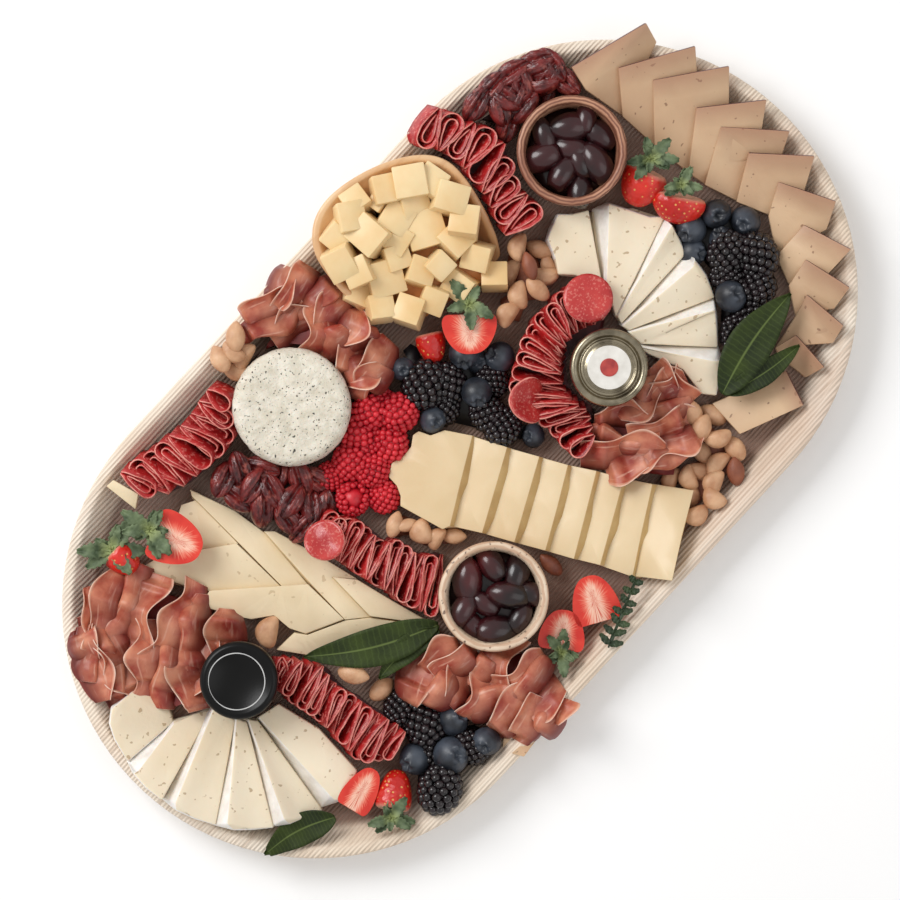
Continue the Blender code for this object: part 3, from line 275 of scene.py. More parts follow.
def bowl(name, node, look):
    centre, low, high = spot(node)
    profile = (
        (0, low),
        (21, low),
        (23, low + 1),
        (27.5, low + 8),
        (31.5, low + 18),
        (32.9, low + 27),
        (33, high - 1.6),
        (32.2, high - 0.3),
        (31, high),
        (29.6, high),
        (28.6, high - 0.8),
        (27.9, high - 4),
        (26.4, low + 17),
        (22.5, low + 10),
        (15, low + 5.4),
        (0, low + 5),
    )
    mesh = bmesh.new()
    turned(mesh, centre, profile, 72)
    put_on_board(name, mesh, [look], [node])


BROWN_BOWL = food("brown_bowl_wood", (150, 98, 76), (196, 146, 116), 40, 600, 0.42, 0.2)
turned_grain(BROWN_BOWL, spot("dark_bowl")[0], 150, (112, 66, 50))
bowl("brown_bowl", "dark_bowl", BROWN_BOWL)
PALE_BOWL = food("pale_bowl_wood", (206, 178, 150), (232, 210, 186), 50, 600, 0.45, 0.2)
specks = pattern(PALE_BOWL, "ShaderNodeTexNoise", Scale=330, Detail=2.0)
tint(PALE_BOWL, specks.outputs["Fac"], 0.60, 0.68, 0.9, (92, 62, 50))
turned_grain(PALE_BOWL, spot("pale_bowl")[0], 90, (196, 160, 132))
bowl("speckled_bowl", "pale_bowl", PALE_BOWL)

# Olives: dark kalamatas with wet skins, piled in each bowl over the ones that can't be seen, which a core
# painted in dark shade stands for.
# Each is a slightly pointed oval about 26 mm long, and some show the hole where the stone was.


def surface(node):
    """A way to find how high a CAD solid stands at a place in plan, in millimetres."""
    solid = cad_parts[node]
    corners = [vert.co / MM for vert in solid.data.vertices]
    tree = BVHTree.FromPolygons(corners, [face.vertices[:] for face in solid.data.polygons])
    floor = min(corner.z for corner in corners)

    def height(x, y):
        hit = tree.ray_cast(Vector((x, y, 200)), Vector((0, 0, -1)))[0]
        return hit.z if hit else floor

    return height


def add_to(mesh, part):
    """Moves a small mesh's shape into a larger one."""
    data = bpy.data.meshes.new("part")
    part.to_mesh(data)
    part.free()
    mesh.from_mesh(data)
    bpy.data.meshes.remove(data)


ROUND = {}


def ball(mesh, at, size, turn=0.0, tip=0.0, roll=0.0, across=16, down=11, shape=None):
    """Adds a round item: a unit ball, shaped if wanted, then sized, tipped, turned and placed."""
    if (across, down) not in ROUND:
        part = bmesh.new()
        bmesh.ops.create_uvsphere(part, u_segments=across, v_segments=down, radius=1.0)
        bmesh.ops.rotate(part, matrix=Matrix.Rotation(math.pi / 2, 3, "Y"), verts=part.verts)
        ROUND[across, down] = bpy.data.meshes.new("ball")
        part.to_mesh(ROUND[across, down])
        part.free()
    before = len(mesh.verts)
    mesh.from_mesh(ROUND[across, down])
    mesh.verts.ensure_lookup_table()
    lie = Euler((math.radians(roll), math.radians(tip), math.radians(turn)))
    place = Matrix.LocRotScale(Vector(at), lie, Vector(size))
    for vert in mesh.verts[before:]:
        vert.co = place @ (shape(vert.co) if shape else vert.co)


def olive_shape(co):
    """An oval with a slight point, and a dimple at its blunt end where the stone came out."""
    pinch = 1.0 - 0.16 * max(co.x, 0.0) ** 2
    end = -co.x
    along = co.x if end < 0.93 else -0.93 + (end - 0.93) * 4.0
    return Vector((along, co.y * pinch, co.z * pinch))


# From the tray's rim inwards to where its floor is flat.
FLAT_FLOOR_INSET = 24


def core(name, node, share, look, draw_in=1.0):
    """The hidden inside of a heap: its CAD solid made lower, narrower, and kept to the flat floor."""
    mesh = bmesh.new()
    mesh.from_mesh(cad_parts[node].data)
    bmesh.ops.scale(mesh, vec=(1 / MM, 1 / MM, 1 / MM), verts=mesh.verts)
    bmesh.ops.remove_doubles(mesh, verts=mesh.verts, dist=0.01)
    centre, low = spot(node)[:2]
    most = TRAY_RADIUS - FLAT_FLOOR_INSET
    for vert in mesh.verts:
        vert.co.z = low + (vert.co.z - low) * share
        vert.co.x = centre[0] + (vert.co.x - centre[0]) * draw_in
        vert.co.y = centre[1] + (vert.co.y - centre[1]) * draw_in
        spine = Vector((max(min(vert.co.x, TRAY_END), -TRAY_END), 0))
        out = vert.co.xy - spine
        if out.length > most:
            vert.co.xy = spine + out.normalized() * most
    return put_on_board(name, mesh, [look], [node], sharp=40)


OLIVE = food("olive_skin", (20, 8, 10), (56, 18, 22), 45, 500, 0.24, 0.05, coat=0.2)
OLIVE_SWELL = 1.08
OLIVE_GIRTH = 0.62
olive_blush = pattern(OLIVE, "ShaderNodeTexNoise", Scale=32.0, Detail=2.0)
tint(OLIVE, olive_blush.outputs["Fac"], 0.55, 0.75, 0.6, (100, 32, 34))
# Painted shade: the core under each bowl's olives is coloured as olives in deep shadow.
OLIVE_SHADOW = food("olive_shadow", (20, 8, 10), (34, 14, 16), 40, 300, 0.3, 0.1)


def olives(name, node, items):
    """A bowl's visible olives as x, y, turn in degrees and half length, over a core painted in dark shade."""
    top = surface(node)
    high = spot(node)[2]
    mesh = bmesh.new()
    for i, (x, y, turn, half) in enumerate(items):
        half *= OLIVE_SWELL
        girth = half * OLIVE_GIRTH
        rest = min(top(x, y), high) - girth
        ball(mesh, (x, y, rest), (half, girth, girth), turn, tip=(-10, 6, 14, -4)[i % 4], shape=olive_shape)
    bmesh.ops.recalc_face_normals(mesh, faces=mesh.faces)
    put_on_board(name, mesh, [OLIVE], [node])
    core(name + "_under", node, 0.62, OLIVE_SHADOW)


olives(
    "kalamata_olives_top",
    "olives_dark_bowl",
    [
        (187, 82, 140, 14),
        (177, 74, 118, 13),
        (161, 83, 150, 14),
        (195, 67, 95, 12.5),
        (181, 56, 75, 14),
        (163, 67, 10, 12),
        (163, 53, 40, 12),
        (172, 90, 60, 11),
        (174, 63, 70, 10),
        (196, 79, 40, 10),
    ],
)
olives(
    "kalamata_olives_lower",
    "olives_pale_bowl",
    [
        (-55, -57, 42, 14),
        (-38, -61, 80, 12),
        (-31, -75, 30, 12.5),
        (-58, -74, 100, 10.5),
        (-44, -81, 125, 13.5),
        (-69, -67, 15, 11.5),
        (-65, -90, -40, 14.5),
        (-35, -90, -70, 11),
        (-73, -78, 75, 11),
        (-50, -95, 10, 10),
    ],
)

# Two small jars of preserve standing on the tray: clear glass, a metal lid with turned rings and a
# paper disc on the one, and a black lid with a thin pale ring on the other.

PRESERVE = food("fruit_preserve", (92, 40, 24), (150, 84, 40), 60, 200, 0.25, 0.1)
JAR_GLASS = bpy.data.materials.new("clear_glass")
JAR_GLASS.use_nodes = True
glass = JAR_GLASS.node_tree.nodes["Principled BSDF"]
glass.inputs["Base Color"].default_value = (0.95, 0.97, 0.95, 1)
glass.inputs["Roughness"].default_value = 0.03
glass.inputs["Transmission Weight"].default_value = 1.0
glass.inputs["IOR"].default_value = 1.45


def jar(name, node):
    centre, low, high = spot(node)
    outside = ((0, low), (18.5, low), (20.6, low + 0.8), (22, low + 3), (22, high - 12.5), (20.6, high - 9.5),
               (19.8, high - 8), (19.8, high))
    inside = ((18, high), (18, high - 8.5), (20.2, high - 13), (20.2, low + 4), (18.6, low + 2.6),
              (0, low + 2.6))
    mesh = bmesh.new()
    turned(mesh, centre, outside + inside)
    put_on_board(name + "_glass", mesh, [JAR_GLASS], [node], sharp=50)
    filling = ((0, low + 3), (18.2, low + 3), (19.8, low + 4.4), (19.8, high - 13.4), (17.7, high - 9),
               (0, high - 8.6))
    mesh = bmesh.new()
    turned(mesh, centre, filling)
    put_on_board(name + "_preserve", mesh, [PRESERVE], [node])


jar("gilt_jar", "jar_gilt")
jar("black_jar", "jar_black")

GILT = food("gilt_lid_metal", (104, 96, 80), (168, 158, 136), 90, 1500, 0.27, 0.05)
GILT.node_tree.nodes["Principled BSDF"].inputs["Metallic"].default_value = 1.0
PAPER = food("paper_disc", (214, 210, 202), (234, 231, 224), 120, 1500, 0.6, 0.08)
PAPER_DOT = food("red_paper_dot", (146, 44, 46), (186, 70, 62), 160, 1500, 0.6, 0.08)
BLACK_LID = food("black_lid_enamel", (4, 4, 4), (8, 8, 8), 70, 1200, 0.3, 0.04)
BLACK_LID.node_tree.nodes["Principled BSDF"].inputs["Specular IOR Level"].default_value = 0.25
PALE_LINE = food("pale_lid_line", (176, 176, 176), (204, 204, 202), 90, 900, 0.4, 0.05)

centre, low, high = spot("lid_gilt")
edge = (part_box("lid_gilt")[1].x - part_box("lid_gilt")[0].x) / 2 / MM
skirt = ((19.9, low + 5.3), (19.9, low + 0.4), (21.6, low), (edge - 0.6, low), (edge, low + 0.7))
crown = ((edge, high - 2.4), (edge - 0.5, high - 0.9), (edge - 1.5, high - 0.2), (edge - 2.6, high),
         (edge - 3.6, high - 0.3))
well = ((18.8, high - 1.5), (18.0, high - 2.8), (17.2, high - 2.6), (16.6, high - 0.9), (15.8, high - 0.8),
        (15.2, high - 2.3), (14.4, high - 2.4), (13.8, high - 1.6), (0, high - 1.6))
mesh = bmesh.new()
turned(mesh, centre, skirt + crown + well, 72)
put_on_board("gilt_lid", mesh, [GILT], ["lid_gilt"])
for name, reach, rise, look in (("paper_disc", 13.0, 1.35, PAPER), ("red_dot", 5.4, 1.1, PAPER_DOT)):
    mesh = bmesh.new()
    turned(mesh, centre, ((0, high - 1.8), (reach, high - 1.8), (reach, high - rise), (0, high - rise)), 48)
    put_on_board("gilt_lid_" + name, mesh, [look], ["lid_gilt"], sharp=40)

centre, low, high = spot("lid_black")
skirt = ((19.9, low + 5.3), (19.9, low + 0.4), (21.6, low), (edge - 0.5, low), (edge, low + 0.6),
         (edge, high - 3.0))
dome = ((edge - 0.6, high - 1.2), (edge - 2.2, high - 0.2), (20, high), (18.6, high - 0.4),
        (17.9, high - 1.0), (0, high - 1.0))
mesh = bmesh.new()
turned(mesh, centre, skirt + dome, 72)
put_on_board("black_lid", mesh, [BLACK_LID], ["lid_black"])
mesh = bmesh.new()
ring = ((16.5, high - 1.1), (17.1, high - 1.1), (17.1, high - 0.85), (16.5, high - 0.85), (16.5, high - 1.1))
turned(mesh, (centre[0] - 1.2, centre[1] + 0.6), ring, 64)
put_on_board("black_lid_line", mesh, [PALE_LINE], ["lid_black"], sharp=40)

# Herbed cheese: a fresh white wheel with a rough crumbly skin, flecked with cracked pepper and
# dried herbs, and a soft rounded edge.

centre, low, high = spot("herb_cheese")
reach = (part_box("herb_cheese")[1].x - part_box("herb_cheese")[0].x) / 2 / MM
profile = [(0, low), (reach - 4, low), (reach - 1.2, low + 1.6), (reach - 0.4, low + 6)]
profile += [(reach - 0.3, high - 9), (reach - 1.2, high - 4.5), (reach - 4, high - 1.6)]
profile += [(reach * share, high - 1.0) for share in (0.8, 0.66, 0.5, 0.34, 0.18, 0)]
mesh = bmesh.new()
turned(mesh, centre, profile, 96)
bmesh.ops.subdivide_edges(mesh, edges=mesh.edges, cuts=1, use_grid_fill=True)
for vert in mesh.verts:
    lump = noise.noise(vert.co / 7.0) * 0.9 + noise.noise(vert.co / 2.2) * 0.45
    away = Vector((vert.co.x - centre[0], vert.co.y - centre[1], 0)).normalized()
    vert.co.z += lump * (0.9 if vert.co.z > low + 20 else 0)
    vert.co -= away * abs(lump) * 0.8
HERB_WHITE = food("herbed_fresh_cheese", (208, 200, 182), (230, 223, 208), 160, 700, 0.75, 0.6, glow=0.1)
flecks = pattern(HERB_WHITE, "ShaderNodeTexNoise", Scale=620, Detail=1.5)
tint(HERB_WHITE, flecks.outputs["Fac"], 0.645, 0.69, 0.9, (78, 74, 62))
leaves = pattern(HERB_WHITE, "ShaderNodeTexNoise", Scale=300, Detail=2.0)
tint(HERB_WHITE, leaves.outputs["Fac"], 0.68, 0.72, 0.95, (44, 42, 38))
add_height(HERB_WHITE, leaves.outputs["Fac"], 0.5, 0.001)
put_on_board("herbed_cheese_wheel", mesh, [HERB_WHITE], ["herb_cheese"])

# Smoked cheese: eleven thin slices fanned round the tray's right end, each lying on the one before,
# with a thin dark smoked rind on one edge, and a last slice lying at the foot of the fan.


def plane(a, b, c):
    """The height of the plane through three points, as a function of x and y."""
    across = (Vector(b) - Vector(a)).cross(Vector(c) - Vector(a))

    def height(x, y):
        return a[2] - (across.x * (x - a[0]) + across.y * (y - a[1])) / across.z

    return height


# How far into a slice the paste is darkened beside its rind.
RIND_REACH = 24


def slab(mesh, outline, thick, rind_and_shade_sides=None, flare=0.0, edge=0.5, cuts=3):
    """Adds a cut slice below its outline of x, y and top height.

    A flagged side, numbered by the corner it starts at, takes the second look: a rind on some cheeses,
    and on others a cut side painted darker as shade. It slopes, so that its band shows from above: its upper
    edge is drawn in by one width at its start and one at its end, and its lower edge flares out.
    """
    rind_and_shade_sides = rind_and_shade_sides or {}
    count = len(outline)
    corners = [Vector(corner) for corner in outline]
    area = sum(p.x * q.y - q.x * p.y for p, q in zip(corners, corners[1:] + corners[:1]))
    inward = []
    for here, after in zip(corners, corners[1:] + corners[:1]):
        along = (after - here).to_2d().normalized() * (1 if area > 0 else -1)
        inward.append(Vector((-along.y, along.x, 0)))
    part = bmesh.new()
    upper, lower = [], []
    for i, corner in enumerate(corners):
        before = (i - 1) % count
        shift = inward[i] * rind_and_shade_sides.get(i, (0, 0))[0] + inward[before] * rind_and_shade_sides.get(before, (0, 0))[1]
        spread = inward[i] * flare * (i in rind_and_shade_sides) + inward[before] * flare * (before in rind_and_shade_sides)
        upper.append(part.verts.new(corner + shift))
        lower.append(part.verts.new(corner - spread - Vector((0, 0, thick))))
    top = part.faces.new(upper)
    part.faces.new(lower)
    for i in range(count):
        j = (i + 1) % count
        side = part.faces.new((upper[i], upper[j], lower[j], lower[i]))
        side.material_index = 1 if i in rind_and_shade_sides else 0
    bmesh.ops.recalc_face_normals(part, faces=part.faces)
    split = bmesh.ops.triangulate(part, faces=[top], ngon_method="BEAUTY")["faces"]
    inside = list({line for face in split for line in face.edges})
    bmesh.ops.subdivide_edges(part, edges=inside, cuts=cuts)
    hard = [line for line in part.edges if line.calc_face_angle(0) > 0.6]
    bmesh.ops.bevel(part, geom=hard, offset=edge, affect="EDGES", segments=2, profile=0.5, material=-1)
    near = part.verts.layers.float.new("near_rind")
    for vert in part.verts:
        for i in rind_and_shade_sides:
            away = abs((vert.co - corners[i]).dot(inward[i]))
            vert[near] = max(vert[near], 1 - away / RIND_REACH)
    add_to(mesh, part)


def attribute(look, name):
    """The value of a mesh attribute, for a material to use."""
    source = look.node_tree.nodes.new("ShaderNodeAttribute")
    source.attribute_name = name
    return source.outputs["Fac"]


SMOKED = food("smoked_cheese_paste", (201, 166, 132), (216, 184, 148), 22, 500, 0.5, 0.12, 0.05, 0.05)
pits = pattern(SMOKED, "ShaderNodeTexNoise", Scale=260, Detail=1.0)
# Painted shade: the small pits are coloured darker, as the shade inside them.
tint(SMOKED, pits.outputs["Fac"], 0.715, 0.74, 0.8, (136, 100, 76))
tint(SMOKED, attribute(SMOKED, "near_rind"), 0.45, 1.0, 0.8, (164, 118, 94))
RIND_BROWN = food("smoked_rind", (82, 50, 52), (118, 76, 68), 90, 500, 0.5, 0.3)

smoked_rows = (
    ((209, 91, 20), (213, 107, 24), (262, 92, 29)),
    ((213, 64, 12), (232, 86, 22.5), (272, 61, 29)),
    ((213.5, 38, 8), (241, 66, 20), (277, 38, 29)),
    ((215.5, 12, 6), (247, 35.5, 16), (277.5, 8, 28.5)),
    ((217, 0, 6), (249, 17, 14), (273.5, -15, 27)),
    ((222.5, -21, 6), (249, -6, 13), (272.5, -36, 28.5)),
    ((229.5, -41, 6), (248.5, -31, 12), (261.5, -64, 28)),
    ((214.5, -61, 6), (240, -60, 12), (246.5, -90, 29)),
    ((207, -78.5, 6), (225.5, -75, 12), (229.5, -105, 27.5)),
    ((196, -94, 6), (210.5, -90, 12), (210.5, -118, 25)),
    ((174, -98, 6), (188.5, -102, 9), (185, -127, 19)),
)
SMOKED_RISE = 10.2
smoked_top = surface("smoked_slices")
mesh = bmesh.new()
fan_foot = ((172, -101.5, 6), (170.8, -111, 6), (167, -124.5, 9))
for row, after in zip(smoked_rows, (*smoked_rows[1:], fan_foot)):
    inner, corner, outer = (Vector(point) + Vector((0, 0, SMOKED_RISE)) for point in row)
    side = (inner - corner) * 0.8
    under = Vector((outer.x + side.x, outer.y + side.y, 0))
    under.z = max(smoked_top(under.x, under.y) - 6.5, 12.0)
    landing = Vector(after[0]) + Vector((0, 0, 4.8))
    landing += (Vector(after[1]) - Vector(after[0])).normalized() * 1.0
    slab(mesh, (inner, corner, outer, under, landing), 5.0, rind_and_shade_sides={1: (0.9, 0.9)}, edge=0.6)
put_on_board("smoked_fan", mesh, [SMOKED, RIND_BROWN], ["smoked_slices"], sharp=35)

mesh = bmesh.new()
foot = plane((123.5, -93, 12.8), (169, -112.5, 17.3), (160.5, -134, 22.3))
outline = [(x, y, foot(x, y)) for x, y in ((123.5, -93), (169, -112.5), (160.5, -134), (121, -117.5))]
slab(mesh, outline, 6.5, rind_and_shade_sides={1: (1.2, 1.2)}, edge=0.6)
put_on_board("smoked_last_slice", mesh, [SMOKED, RIND_BROWN], ["smoked_end_slice"], sharp=35)
mesh = bmesh.new()
rest = surface("tan_slice")
outline = [(-110, -137.5), (-116, -142), (-109, -153), (-95, -152.5), (-97, -149.5), (-105, -143.5)]
outline = [(x, y, rest(x * 0.995 - 0.5, y + 1.0)) for x, y in outline]
slab(mesh, outline, 4.6, edge=0.5)
put_on_board("slice_by_the_rim", mesh, [SMOKED, RIND_BROWN], ["tan_slice"], sharp=35)

# Yellow cheese: eight slices in a straight row, each one's lower edge resting on the next, so that
# its cut side shows as a band, painted darker as shade. Below it, cubes of the same cheese heaped in the
# scoop.

YELLOW = food("yellow_cheese_paste", (216, 189, 146), (225, 202, 163), 18, 420, 0.42, 0.06, 0.1, 0.08)
# Painted shade: each slice's sloping cut side is the same paste, coloured darker as shade. The hidden core
# under the row takes it too.
YELLOW_SIDE_SHADE = food("yellow_cheese_side_shade", (192, 156, 100), (210, 178, 122), 60, 420, 0.5, 0.1, glow=0.05)
yellow_lines = (
    ((-38, -27), (-14, -13.5), (11, 0)),
    ((-28, -44), (-4, -32), (20, -20)),
    ((-19, -62), (5, -50), (29, -38)),
    ((-10, -79), (14, -66.5), (37, -54)),
    ((-2, -95), (22, -82), (46, -69)),
    ((6, -109), (30, -96.5), (54, -84)),
    ((14, -128), (38, -113.5), (63, -99)),
)
YELLOW_LOW = 19.0
YELLOW_HIGH = 25.4
wavy_end = [(11, 0), (2, 14.5), (-6, 18.5), (-9, 25.5), (-13, 26.5), (-19, 22.5), (-27, 22), (-34, 24.5),
            (-41.5, 20), (-42, 13), (-45, 7), (-49.5, 3), (-46.5, -9), (-42.5, -25)]
mesh = bmesh.new()
first = [(x, y, 19.5 + 0.11 * max(25 - y, 0)) for x, y in wavy_end]
first += [(-38, -27, YELLOW_HIGH), (-14, -13.5, YELLOW_HIGH)]
slab(mesh, first, 12.0, rind_and_shade_sides={14: (0, 0), 15: (0, 0)}, flare=6.0)
for line, after in zip(yellow_lines, yellow_lines[1:]):
    outline = [(x - 1.5, y + 2.6, YELLOW_LOW) for x, y in line]
    outline += [(x, y, YELLOW_HIGH) for x, y in reversed(after)]
    slab(mesh, outline, 11.0, rind_and_shade_sides={3: (0, 0), 4: (0, 0)}, flare=6.0)
last = [(x - 1.5, y + 2.6, YELLOW_LOW) for x, y in yellow_lines[-1]]
tail = surface("yellow_slices")
last += [(x, y, tail(x - 1, y + 1.5)) for x, y in ((77.5, -120.5), (53, -133.5), (28.5, -146.5))]
slab(mesh, last, 11.0, rind_and_shade_sides={3: (0.5, 0.5), 4: (0.5, 0.5)})
put_on_board("yellow_row", mesh, [YELLOW, YELLOW_SIDE_SHADE], ["yellow_slices"], sharp=35)
core("yellow_row_under", "yellow_slices", 0.5, YELLOW_SIDE_SHADE, 0.99)

cubes = (
    (97, 130, 20), (75, 136, 10), (56, 142, 18), (57, 126, 21), (82, 105, 23), (105, 106, 19), (101, 90, 19),
    (89, 87, 18), (92, 71, 17), (34, 128, 19), (45, 104, 22), (61, 90, 17), (72, 84, 15), (72, 67, 17),
    (90, 55, 16), (27, 109, 16), (29, 92, 15), (40, 78, 18), (55, 73, 16), (43, 141, 15), (66, 112, 17),
    (75, 122, 18), (88, 120, 17), (37, 116, 17), (58, 106, 15), (83, 138, 17), (66, 146, 15), (105, 121, 17),
)
YELLOW_DICE = food("yellow_cheese_dice", (226, 190, 134), (238, 212, 164), 30, 420, 0.42, 0.06, 0.1, 0.1)
draws = random.Random(11)
heap = surface("cheese_cubes")
scoop_top = surface("scoop")
mesh = bmesh.new()
for x, y, size in cubes:
    part = bmesh.new()
    bmesh.ops.create_cube(part, size=size)
    rounding = {"affect": "EDGES", "segments": 2, "profile": 0.5, "material": -1}
    bmesh.ops.bevel(part, geom=part.edges, offset=0.9, **rounding)
    stretch = Vector([draws.uniform(0.92, 1.04) for _ in range(3)])
    lean = [math.radians(draws.uniform(-17, 17)) for _ in range(2)]
    lean = Euler((*lean, draws.uniform(0, 1.57)))
    feet = [(x + i * size, y + j * size) for i in (-0.5, 0.5) for j in (-0.5, 0.5)]
    beneath = max(scoop_top(*foot) for foot in feet)
    height = min(heap(x, y), 41.5) - draws.uniform(0, 2.5) - size * 0.56
    height = max(height, min(beneath, 26.5) + size * 0.5)
    place = Matrix.LocRotScale(Vector((x, y, height)), lean, stretch)
    bmesh.ops.transform(part, matrix=place, verts=part.verts)
    add_to(mesh, part)
put_on_board("cheese_dice", mesh, [YELLOW_DICE], ["cheese_cubes"], sharp=35)
YELLOW_DEEP = food("yellow_cheese_shade", (178, 110, 58), (200, 136, 80), 40, 300, 0.6, 0.1)
core("cheese_dice_under", "cheese_cubes", 0.5, YELLOW_DEEP, 0.9)

# Scoop: a hollow carved from one block of honey-coloured wood, with a thick smooth rim and an open
# low mouth that lets the cubes spill out.

SCOOP_WOOD = food("scoop_wood", (208, 160, 112), (228, 190, 146), 26, 700, 0.36, 0.08, coat=0.15)
grain = pattern(SCOOP_WOOD, "ShaderNodeTexNoise", (40, 260, 120), 0.5, Scale=1.0, Detail=3.0)
tint(SCOOP_WOOD, grain.outputs["Fac"], 0.5, 0.75, 0.5, (190, 138, 92))
scoop_rim = (
    (20.5, 97, 20), (20.5, 112, 31), (22, 126, 35), (25, 139, 37), (31, 149, 38), (41, 156.5, 38),
    (53, 159.5, 38), (67, 158.5, 38), (82, 154.5, 38), (96, 148.5, 38), (108, 141, 37), (117, 132, 36),
    (121.5, 121, 35),
    (121, 108, 34), (118, 95, 32), (113, 80, 27), (106.5, 67, 18), (100, 61, 12), (84, 64, 10), (64, 72, 10),
    (44, 80, 10), (29, 88, 11),
)
scoop_middle = Vector((70, 110, 0))


def smooth_ring(points, steps=5):
    """A closed curve that passes through every point, with more points between them."""
    made = []
    count = len(points)
    for i in range(count):
        a, b, c, d = (Vector(points[(i + k) % count]) for k in (-1, 0, 1, 2))
        bend = 2 * a - 5 * b + 4 * c - d
        twist = 3 * b - a - 3 * c + d
        for k in range(steps):
            t = k / steps
            made.append(0.5 * (2 * b + (c - a) * t + bend * t ** 2 + twist * t ** 3))
    return made


# The scoop's rings, from its underside up its outside, over the rim and down to its inner floor: how
# far out each lies, how far it may reach towards the tray's far wall, and its height for the rim's.
scoop_levels = (
    (0.60, 124.0, lambda rim: 5.4),
    (0.72, 129.0, lambda rim: 5.6),
    (0.84, 136.0, lambda rim: min(15.0, 0.5 * rim)),
    (0.93, 144.0, lambda rim: min(26.4, 0.74 * rim)),
    (0.985, 200.0, lambda rim: rim - 3.4),
    (1.0, 200.0, lambda rim: rim - 1.6),
    (0.993, 200.0, lambda rim: rim - 0.5),
    (0.975, 200.0, lambda rim: rim),
    (0.935, 200.0, lambda rim: rim),
    (0.915, 200.0, lambda rim: rim - 0.7),
    (0.90, 200.0, lambda rim: max(rim - 2.2, 9.2)),
    (0.84, 136.0, lambda rim: max(min(26.4, 0.72 * rim), 9.0)),
    (0.74, 129.0, lambda rim: 9.4),
    (0.60, 120.0, lambda rim: 8.6),
)
curve = smooth_ring(scoop_rim)
mesh = bmesh.new()
rings = []
for share, most, rise in scoop_levels:
    ring = []
    for point in curve:
        x = scoop_middle.x + share * (point.x - scoop_middle.x)
        y = scoop_middle.y + share * (point.y - scoop_middle.y)
        ring.append(mesh.verts.new((x, min(y, most + 0.02 * x), rise(point.z))))
    rings.append(ring)
for inner, outer in zip(rings, rings[1:]):
    for i in range(len(inner)):
        j = (i + 1) % len(inner)
        mesh.faces.new((inner[i], inner[j], outer[j], outer[i]))
mesh.faces.new(rings[0])
mesh.faces.new(rings[-1])
bmesh.ops.recalc_face_normals(mesh, faces=mesh.faces)
put_on_board("wooden_scoop", mesh, [SCOOP_WOOD], ["scoop"], sharp=60)

# Soft-ripened cheese: two fans of wedges round the two jars. Each wedge is cut from a wheel, with a
# cream paste and a floury white rind that shows along its leading edge and round its outer end.

SOFT_PASTE = food("soft_cheese_paste", (232, 214, 183), (241, 227, 201), 20, 420, 0.42, 0.14, 0.12, 0.1)
holes = pattern(SOFT_PASTE, "ShaderNodeTexNoise", Scale=250, Detail=1.5)
# Painted shade: the small holes are coloured darker, as the shade inside them.
tint(SOFT_PASTE, holes.outputs["Fac"], 0.68, 0.71, 0.75, (176, 148, 110))
add_height(SOFT_PASTE, holes.outputs["Fac"], -0.4, 0.001)
WHITE_RIND = food("floury_rind", (232, 226, 218), (247, 243, 238), 120, 500, 0.8, 0.35, glow=0.1)
RIND_WIDE = (2.6, 9.0)
RIND_END = (1.0, 1.0)


def fan(name, node, wedges):
    """Wedges as a count of outer sides, whether the rind shows along the leading edge, three points of
    the top plane, and an outline. Its first side is the leading edge, and the outer sides follow."""
    mesh = bmesh.new()
    for ends, leading, tops, outline in wedges:
        height = plane(*tops)
        rind_and_shade_sides = {side: RIND_END for side in range(1, 1 + ends)}
        if leading:
            rind_and_shade_sides[0] = RIND_WIDE
            rind_and_shade_sides[1] = (RIND_WIDE[1] * 0.4, RIND_END[1])
        slab(mesh, [(x, y, height(x, y)) for x, y in outline], 12.5, rind_and_shade_sides=rind_and_shade_sides, edge=0.9, cuts=2)
    put_on_board(name, mesh, [SOFT_PASTE, WHITE_RIND], [node], sharp=50)
    core(name + "_under", node, 0.42, SOFT_PASTE, 0.98)


fan(
    "wedges_by_gilt_jar",
    "soft_wedges_right",
    [
        (4, False, ((117, 28, 21.5), (144, 54, 21.5), (132, 8, 20)),
         ((117, 28), (122, 36), (127, 48), (134, 51.5), (144, 54), (150, 47), (158, 41), (132, 6),
          (123, 21))),
        (4, True, ((130, 4, 24.6), (160, 40.5, 24.6), (186, 7, 19)),
         ((130, 4), (160, 40.5), (170, 36), (176, 24), (181.5, 12), (187, 5), (121.5, -15))),
        (3, True, ((122, -12.5, 25.4), (186, 7, 25.4), (179, -18, 19)),
         ((122, -12.5), (186, 7), (187, -2), (184, -12), (179, -20.5), (121, -20))),
        (3, True, ((120, -18.5, 25.4), (179, -18.5, 25.4), (172, -49.5, 19)),
         ((120, -18.5), (179, -18.5), (181, -26), (179, -38), (172, -51), (121, -26))),
        (3, True, ((121, -24, 25.4), (172, -49.5, 25.4), (152, -71, 19)),
         ((121, -24), (172, -49.5), (166, -58), (159, -66), (151, -73), (120.5, -37))),
        (3, True, ((120, -35, 25.4), (152, -72, 25.4), (129, -92, 20)),
         ((120, -35), (152, -72), (147, -80), (139, -86), (129, -92), (123, -84), (126, -66), (118.5, -44))),
    ],
)
